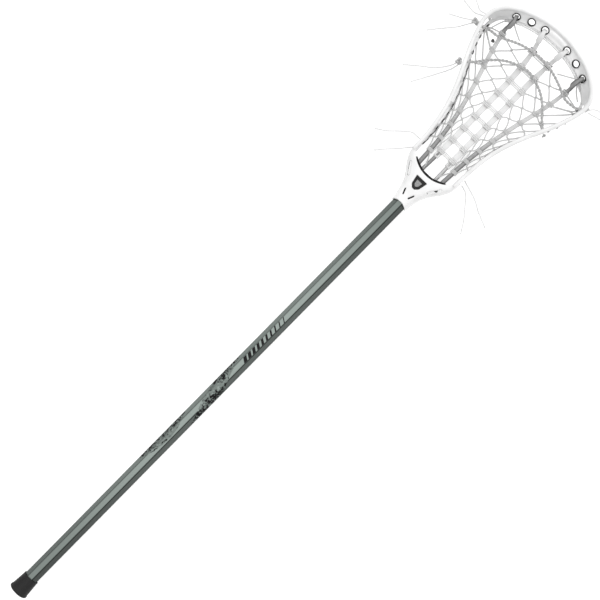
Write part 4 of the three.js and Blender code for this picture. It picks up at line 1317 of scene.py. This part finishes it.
def make_sidewall_string(side, word, look):
    """Inside the rail near the throat; higher up it shows there only as a stitch in each slot."""
    face = WALL_HALF + STITCH_RADIUS + 0.0002
    stitch = 0.0016
    points = []
    for k, slot in enumerate(SLOTS):
        basis = wall_basis(slot if side > 0 else 2 * TIP - slot, SLOT_SHARE)
        along, out, centre = side * basis[:3, 0], basis[:3, 2], basis[:3, 3]
        points += [centre - out * face + along * step for step in (-stitch, stitch)]
        if k + 1 < len(SLOTS):
            half = (slot + SLOTS[k + 1]) / 2
            middle = wall_basis(half if side > 0 else 2 * TIP - half, SLOT_SHARE)
            sign = -1 if middle[0, 3] < 0.978 else 1
            points.append(middle[:3, 3] + sign * middle[:3, 2] * (face + 0.0004))
    skin = Skin()
    skin.tube(route(points, 0.0012), STITCH_RADIUS, 10)
    skin.piece(f"sidewall_string_{word}_cord", look, "pocket_lace", [f"sidewall_string_{word}"])


# Shooting strings: arches across the net, through the side windows and out to their knots.
UPPER_ARCH = [(1.0540, 0), (1.0530, 0.014), (1.0500, 0.029), (1.0450, 0.047), (1.0390, 0.064)]
LOWER_ARCH = [(1.031, 0), (1.028, 0.015), (1.020, 0.034), (1.007, 0.050), (0.995, 0.060)]
UPPER_LEFT_END = [(1.0325, 0.080, 0.010), (1.0290, 0.089, 0.012), (1.0285, 0.095, 0.012)]
UPPER_RIGHT_END = [(1.0345, -0.0775, 0.011), (1.0365, -0.0860, 0.0125), (1.0405, -0.0925, 0.013)]
LOWER_LEFT_END = [(0.987, 0.066, -0.002), (0.980, 0.0715, 0.004), (0.9765, 0.076, 0.0045)]
LOWER_RIGHT_END = [(0.989, -0.066, -0.002), (0.983, -0.072, 0.004), (0.981, -0.075, 0.0045)]
SHOOTER_ABOVE = 0.0066


def make_shooter(word, arch, left_end, right_end, look):
    def half(side):
        return [above_net(x, side * y, SHOOTER_ABOVE) for x, y in arch]
    points = [*left_end[::-1], *half(1)[::-1], *half(-1)[1:], *right_end]
    skin = Skin()
    skin.twisted(route(points, 0.0010), SHOOTER_STRAND, 0.011)
    skin.piece(f"shooting_string_{word}_twist", look, "shooting_cord",
               [f"shooting_string_{word}"])


# The strands that leave the loops of the outer thongs: to the wall, and to the upper arch.
LEFT_STRANDS = [
    [(1.0552, 0.0715, 0.034), (1.0477, 0.0815, 0.029), (1.0400, 0.0880, 0.022),
     (1.0330, 0.0895, 0.014)],
    [(1.0545, 0.0700, 0.033), (1.0433, 0.0771, 0.020), (1.0335, 0.0815, 0.012)],
    [(1.0583, 0.0615, 0.034), (1.0530, 0.0500, 0.026), (1.0480, 0.0385, 0.021)],
]
RIGHT_STRANDS = [
    [(1.0590, -0.0610, 0.033), (1.0508, -0.0684, 0.021), (1.0437, -0.0789, 0.012)],
    [(1.0590, -0.0660, 0.034), (1.0535, -0.0745, 0.022), (1.0480, -0.0825, 0.014)],
    [(1.0596, -0.0560, 0.035), (1.0550, -0.0440, 0.028), (1.0505, -0.0325, 0.022)],
]


def make_scoop_string(look, strand_look):
    """A doubled cord along the scoop's inner edge, and the strands that leave the outer loops."""
    edge, strands = Skin(), Skin()
    for drop in (0.0016, 0.0042):
        points = []
        for station in np.linspace(TIP - 4, TIP + 4, 17):
            wall = Wall(station)
            points.append(wall.place(wall.toe + wall.down * (FOOT_BEAD + drop)))
        edge.tube(route(points, 0.0015), NET_RADIUS, 8)
    for points in LEFT_STRANDS + RIGHT_STRANDS:
        strands.tube(route(points, 0.0015), NET_RADIUS, 8)
    edge.piece("scoop_string_cord", look, "pocket_lace", ["scoop_string"])
    strands.piece("scoop_string_strands", strand_look, "pocket_lace")


# ---- Knots and loose tails outside the sidewalls ----
FLOOR = -REST_DEPTH + TAIL_DIAMETER / 2 + 0.0001     # middle of a tail that lies on the surface

KNOTS = {
    "knot_upper_left": ((1.0275, 0.1030, 0.011), (0.0054, 0.0070, 0.0050)),
    "knot_upper_right": ((1.0446, -0.0956, 0.0095), (0.0044, 0.0036, 0.0038)),
    "knot_lower_left": ((0.9722, 0.0814, 0.0036), (0.0058, 0.0054, 0.0050)),
    "knot_lower_right": ((0.9786, -0.0784, 0.0036), (0.0034, 0.0026, 0.0032)),
    "knot_scoop_left": ((1.0460, 0.0928, 0.0060), (0.0036, 0.0028, 0.0028)),
}

TAILS = {
    "tail_upper_left_1": [(1.0270, 0.1074, 0.0095), (1.0245, 0.1130, 0.0050),
                          (1.0220, 0.1220, -0.0055), (1.0193, 0.1320, FLOOR),
                          (1.0144, 0.1419, FLOOR)],
    "tail_upper_left_2": [(1.0238, 0.1046, 0.0095), (1.0170, 0.1100, 0.0055),
                          (1.0070, 0.1190, -0.0050), (0.9940, 0.1330, FLOOR),
                          (0.9765, 0.1476, FLOOR)],
    "tail_lower_left_1": [(0.9686, 0.0824, 0.0015), (0.9612, 0.0865, -0.0040),
                          (0.9450, 0.1016, FLOOR), (0.9310, 0.1200, FLOOR),
                          (0.9170, 0.1375, FLOOR)],
    "tail_lower_left_2": [(0.9678, 0.0790, 0.0010), (0.9590, 0.0820, -0.0050),
                          (0.9376, 0.0949, FLOOR), (0.9230, 0.1030, FLOOR),
                          (0.9075, 0.1118, FLOOR)],
    "tail_scoop_left_1": [(1.0450, 0.0964, 0.0042), (1.0430, 0.1050, -0.0030),
                          (1.0410, 0.1175, FLOOR), (1.0430, 0.1350, FLOOR),
                          (1.0470, 0.1560, FLOOR)],
    "tail_scoop_left_2": [(1.0474, 0.0960, 0.0042), (1.0478, 0.1040, -0.0025),
                          (1.0490, 0.1140, FLOOR), (1.0550, 0.1260, FLOOR),
                          (1.0610, 0.1500, FLOOR)],
    "tail_throat_left_1": [(0.8570, 0.0424, -0.0115), (0.8570, 0.0490, FLOOR),
                           (0.8564, 0.0590, FLOOR), (0.8494, 0.0690, FLOOR),
                           (0.8320, 0.0883, FLOOR), (0.8234, 0.1018, FLOOR)],
    "tail_throat_left_2": [(0.8410, 0.0444, -0.0118), (0.8360, 0.0490, FLOOR),
                           (0.8255, 0.0580, FLOOR), (0.8123, 0.0705, FLOOR),
                           (0.8004, 0.0808, FLOOR)],
    "tail_throat_right_1": [(0.8500, -0.0444, -0.0118), (0.8490, -0.0490, FLOOR),
                            (0.8460, -0.0560, FLOOR), (0.8324, -0.0683, FLOOR),
                            (0.8170, -0.0807, FLOOR), (0.7997, -0.0913, FLOOR)],
    "tail_throat_right_2": [(0.8580, -0.0428, -0.0115), (0.8560, -0.0490, FLOOR),
                            (0.8528, -0.0600, FLOOR), (0.8483, -0.0723, FLOOR),
                            (0.8399, -0.0873, FLOOR), (0.8300, -0.1098, FLOOR)],
    "tail_upper_right_1": [(1.0478, -0.0990, 0.0076), (1.0540, -0.1030, 0.0020),
                           (1.0590, -0.1100, -0.0060), (1.0600, -0.1210, FLOOR),
                           (1.0560, -0.1370, FLOOR), (1.0470, -0.1510, FLOOR)],
    "tail_upper_right_2": [(1.0438, -0.1000, 0.0070), (1.0465, -0.1060, 0.0),
                           (1.0505, -0.1130, -0.0080), (1.0530, -0.1240, FLOOR),
                           (1.0480, -0.1370, FLOOR), (1.0400, -0.1460, FLOOR)],
}


def make_knots(look):
    made = {}
    for number, (name, (centre, size)) in enumerate(KNOTS.items()):
        skin = Skin()
        overhand_knot(skin, centre, size, 0.33 * min(size), number * 0.9)
        made[name] = skin.piece(name + "_tied", look, "shooting_cord", [name])
    return made


def make_tails(look):
    """Each tail is a free cord that rests on the surface, as long as its route."""
    for name, points in TAILS.items():
        line = route(points, 0.0025)
        line[:, 2] = np.maximum(line[:, 2], FLOOR)
        skin = Skin()
        skin.tube(line, TAIL_DIAMETER / 2, 12)
        tail = skin.piece(name + "_cord", look, "tail_cord", [name])


# ---- Stage ----
SKY_LOW = 0.62                  # the sky's strength at the horizon
SKY_ABOVE = 1.35                # how much stronger it is overhead
SKY_TOWARDS_SCOOP = 0.70        # and how much stronger on the scoop's side
SKY_LEAST = 0.25


def make_floor():
    """A pale studio floor that is lit evenly, so the shadows on it stay faint."""
    mesh = bpy.data.meshes.new("floor")
    size = 6.0
    low = -0.0003
    mesh.from_pydata([(-size, -size, low), (size, -size, low), (size, size, low),
                      (-size, size, low)], [], [(0, 1, 2, 3)])
    floor = bpy.data.objects.new("floor", mesh)
    bpy.context.scene.collection.objects.link(floor)
    look = Look("floor_white", Roughness=0.9, Base_Color=grey(0.5), Emission_Strength=0.68)
    look.shader.inputs["Emission Color"].default_value = grey(1.0)
    mesh.materials.append(look.material)


def make_area_light(name, place, aim, size, power):
    data = bpy.data.lights.new(name, "AREA")
    data.shape = "RECTANGLE"
    data.size, data.size_y = size
    data.energy = power
    light = bpy.data.objects.new(name, data)
    light.location = place
    light.rotation_euler = (Vector(aim) - Vector(place)).to_track_quat("-Z", "Y").to_euler()
    light.visible_camera = False
    bpy.context.scene.collection.objects.link(light)


def make_lights():
    """A sky that is brightest overhead and beyond the scoop, and a small light that glints on it."""
    world = bpy.data.worlds.new("studio")
    bpy.context.scene.world = world
    world.use_nodes = True
    sky = Nodes(world.node_tree)
    where = sky.node("TexCoord").outputs["Generated"]
    x, _, z = sky.node("SeparateXYZ", Vector=where).outputs
    height = sky.math("MAXIMUM", z, 0.0)
    overhead = sky.math("MULTIPLY", sky.math("MULTIPLY", height, height), SKY_ABOVE)
    sideways = sky.math("MULTIPLY", x, SKY_TOWARDS_SCOOP)
    level = sky.math("ADD", sky.math("ADD", overhead, sideways), SKY_LOW)
    background = sky.tree.nodes["Background"]
    sky.feed(background.inputs["Color"], grey(1.0))
    sky.feed(background.inputs["Strength"], sky.math("MAXIMUM", level, SKY_LEAST))
    make_area_light("scoop_beam", (-1.22, 0.18, 1.08), (0.53, 0, 0.05), (0.16, 0.16), 3.0)


def main():
    make_camera()
    lace_white = braided("pocket_lace", 0.84, 0.56, 0.0024, 4)
    lace_grey = braided("net_lace", 0.64, 0.37, 0.0022, 4)
    lace_dark = braided("sidewall_lace", 0.10, 0.045, 0.0024, 4)
    tail_look = braided("tail_cord", 0.78, 0.54, 0.0026, 4)
    shooter_look = braided("shooting_cord", 0.56, 0.30, 0.0026, 3)
    # The binding is near black as painted shade for the weave's gaps.
    binding_shade_look = braided("ladder_binding", 0.03, 0.012, 0.0020, 3)
    leather, pale_leather = thong_leather("grey_thong", 0.25), thong_leather("pale_thong", 0.5)
    strap = woven_strap()
    knots = make_knots(shooter_look)
    make_tails(tail_look)
    make_shaft(anodised_aluminium())
    make_butt_cap(matte_black("cap_rubber", 0.010, 0.0009, 0.62))
    make_head(moulded_white(), matte_black("slot_painted_shade", 0.01, 0.0006, 0.6))
    make_ball_stop(matte_black("pad_foam", 0.008, 0.0005, 0.85))
    make_badge(matte_black("badge_black", 0.008, 0.0008, 0.3),
               matte_black("badge_grey", 0.22, 0.0008, 0.35))
    make_screw(plated_steel())
    trim = matte_black("ring_black", 0.008, 0.0006, 0.45)
    for number, hole in enumerate(HOLES, 1):
        make_scoop_ring(number, hole, trim)
    for side, word in ((1, "left"), (-1, "right")):
        outer_spread = OUTER_SPREAD_LEFT if side > 0 else OUTER_SPREAD
        make_thong("outer", word, side, HOLES[0 if side > 0 else 5], leather, outer_spread,
                   0.022, OUTER_WIDTH).piece(f"thong_outer_{word}_knot", leather, "grey_thong")
        make_thong("inner", word, side, HOLES[2 if side > 0 else 3], strap, INNER_SPREAD,
                   0.012, INNER_WIDTH).piece(f"thong_inner_{word}_tie",
                                             leather if side > 0 else pale_leather, "grey_thong")
        make_cross_lacing(side, word, outer_spread, lace_grey, lace_dark)
        make_sidewall_string(side, word, lace_dark)
    make_ladder(lace_white, binding_shade_look)
    make_shooter("upper", UPPER_ARCH, UPPER_LEFT_END, UPPER_RIGHT_END, shooter_look)
    make_shooter("lower", LOWER_ARCH, LOWER_LEFT_END, LOWER_RIGHT_END, shooter_look)
    make_scoop_string(lace_white, lace_grey)
    make_floor()
    make_lights()
    bpy.context.scene.view_settings.view_transform = "Standard"


main()
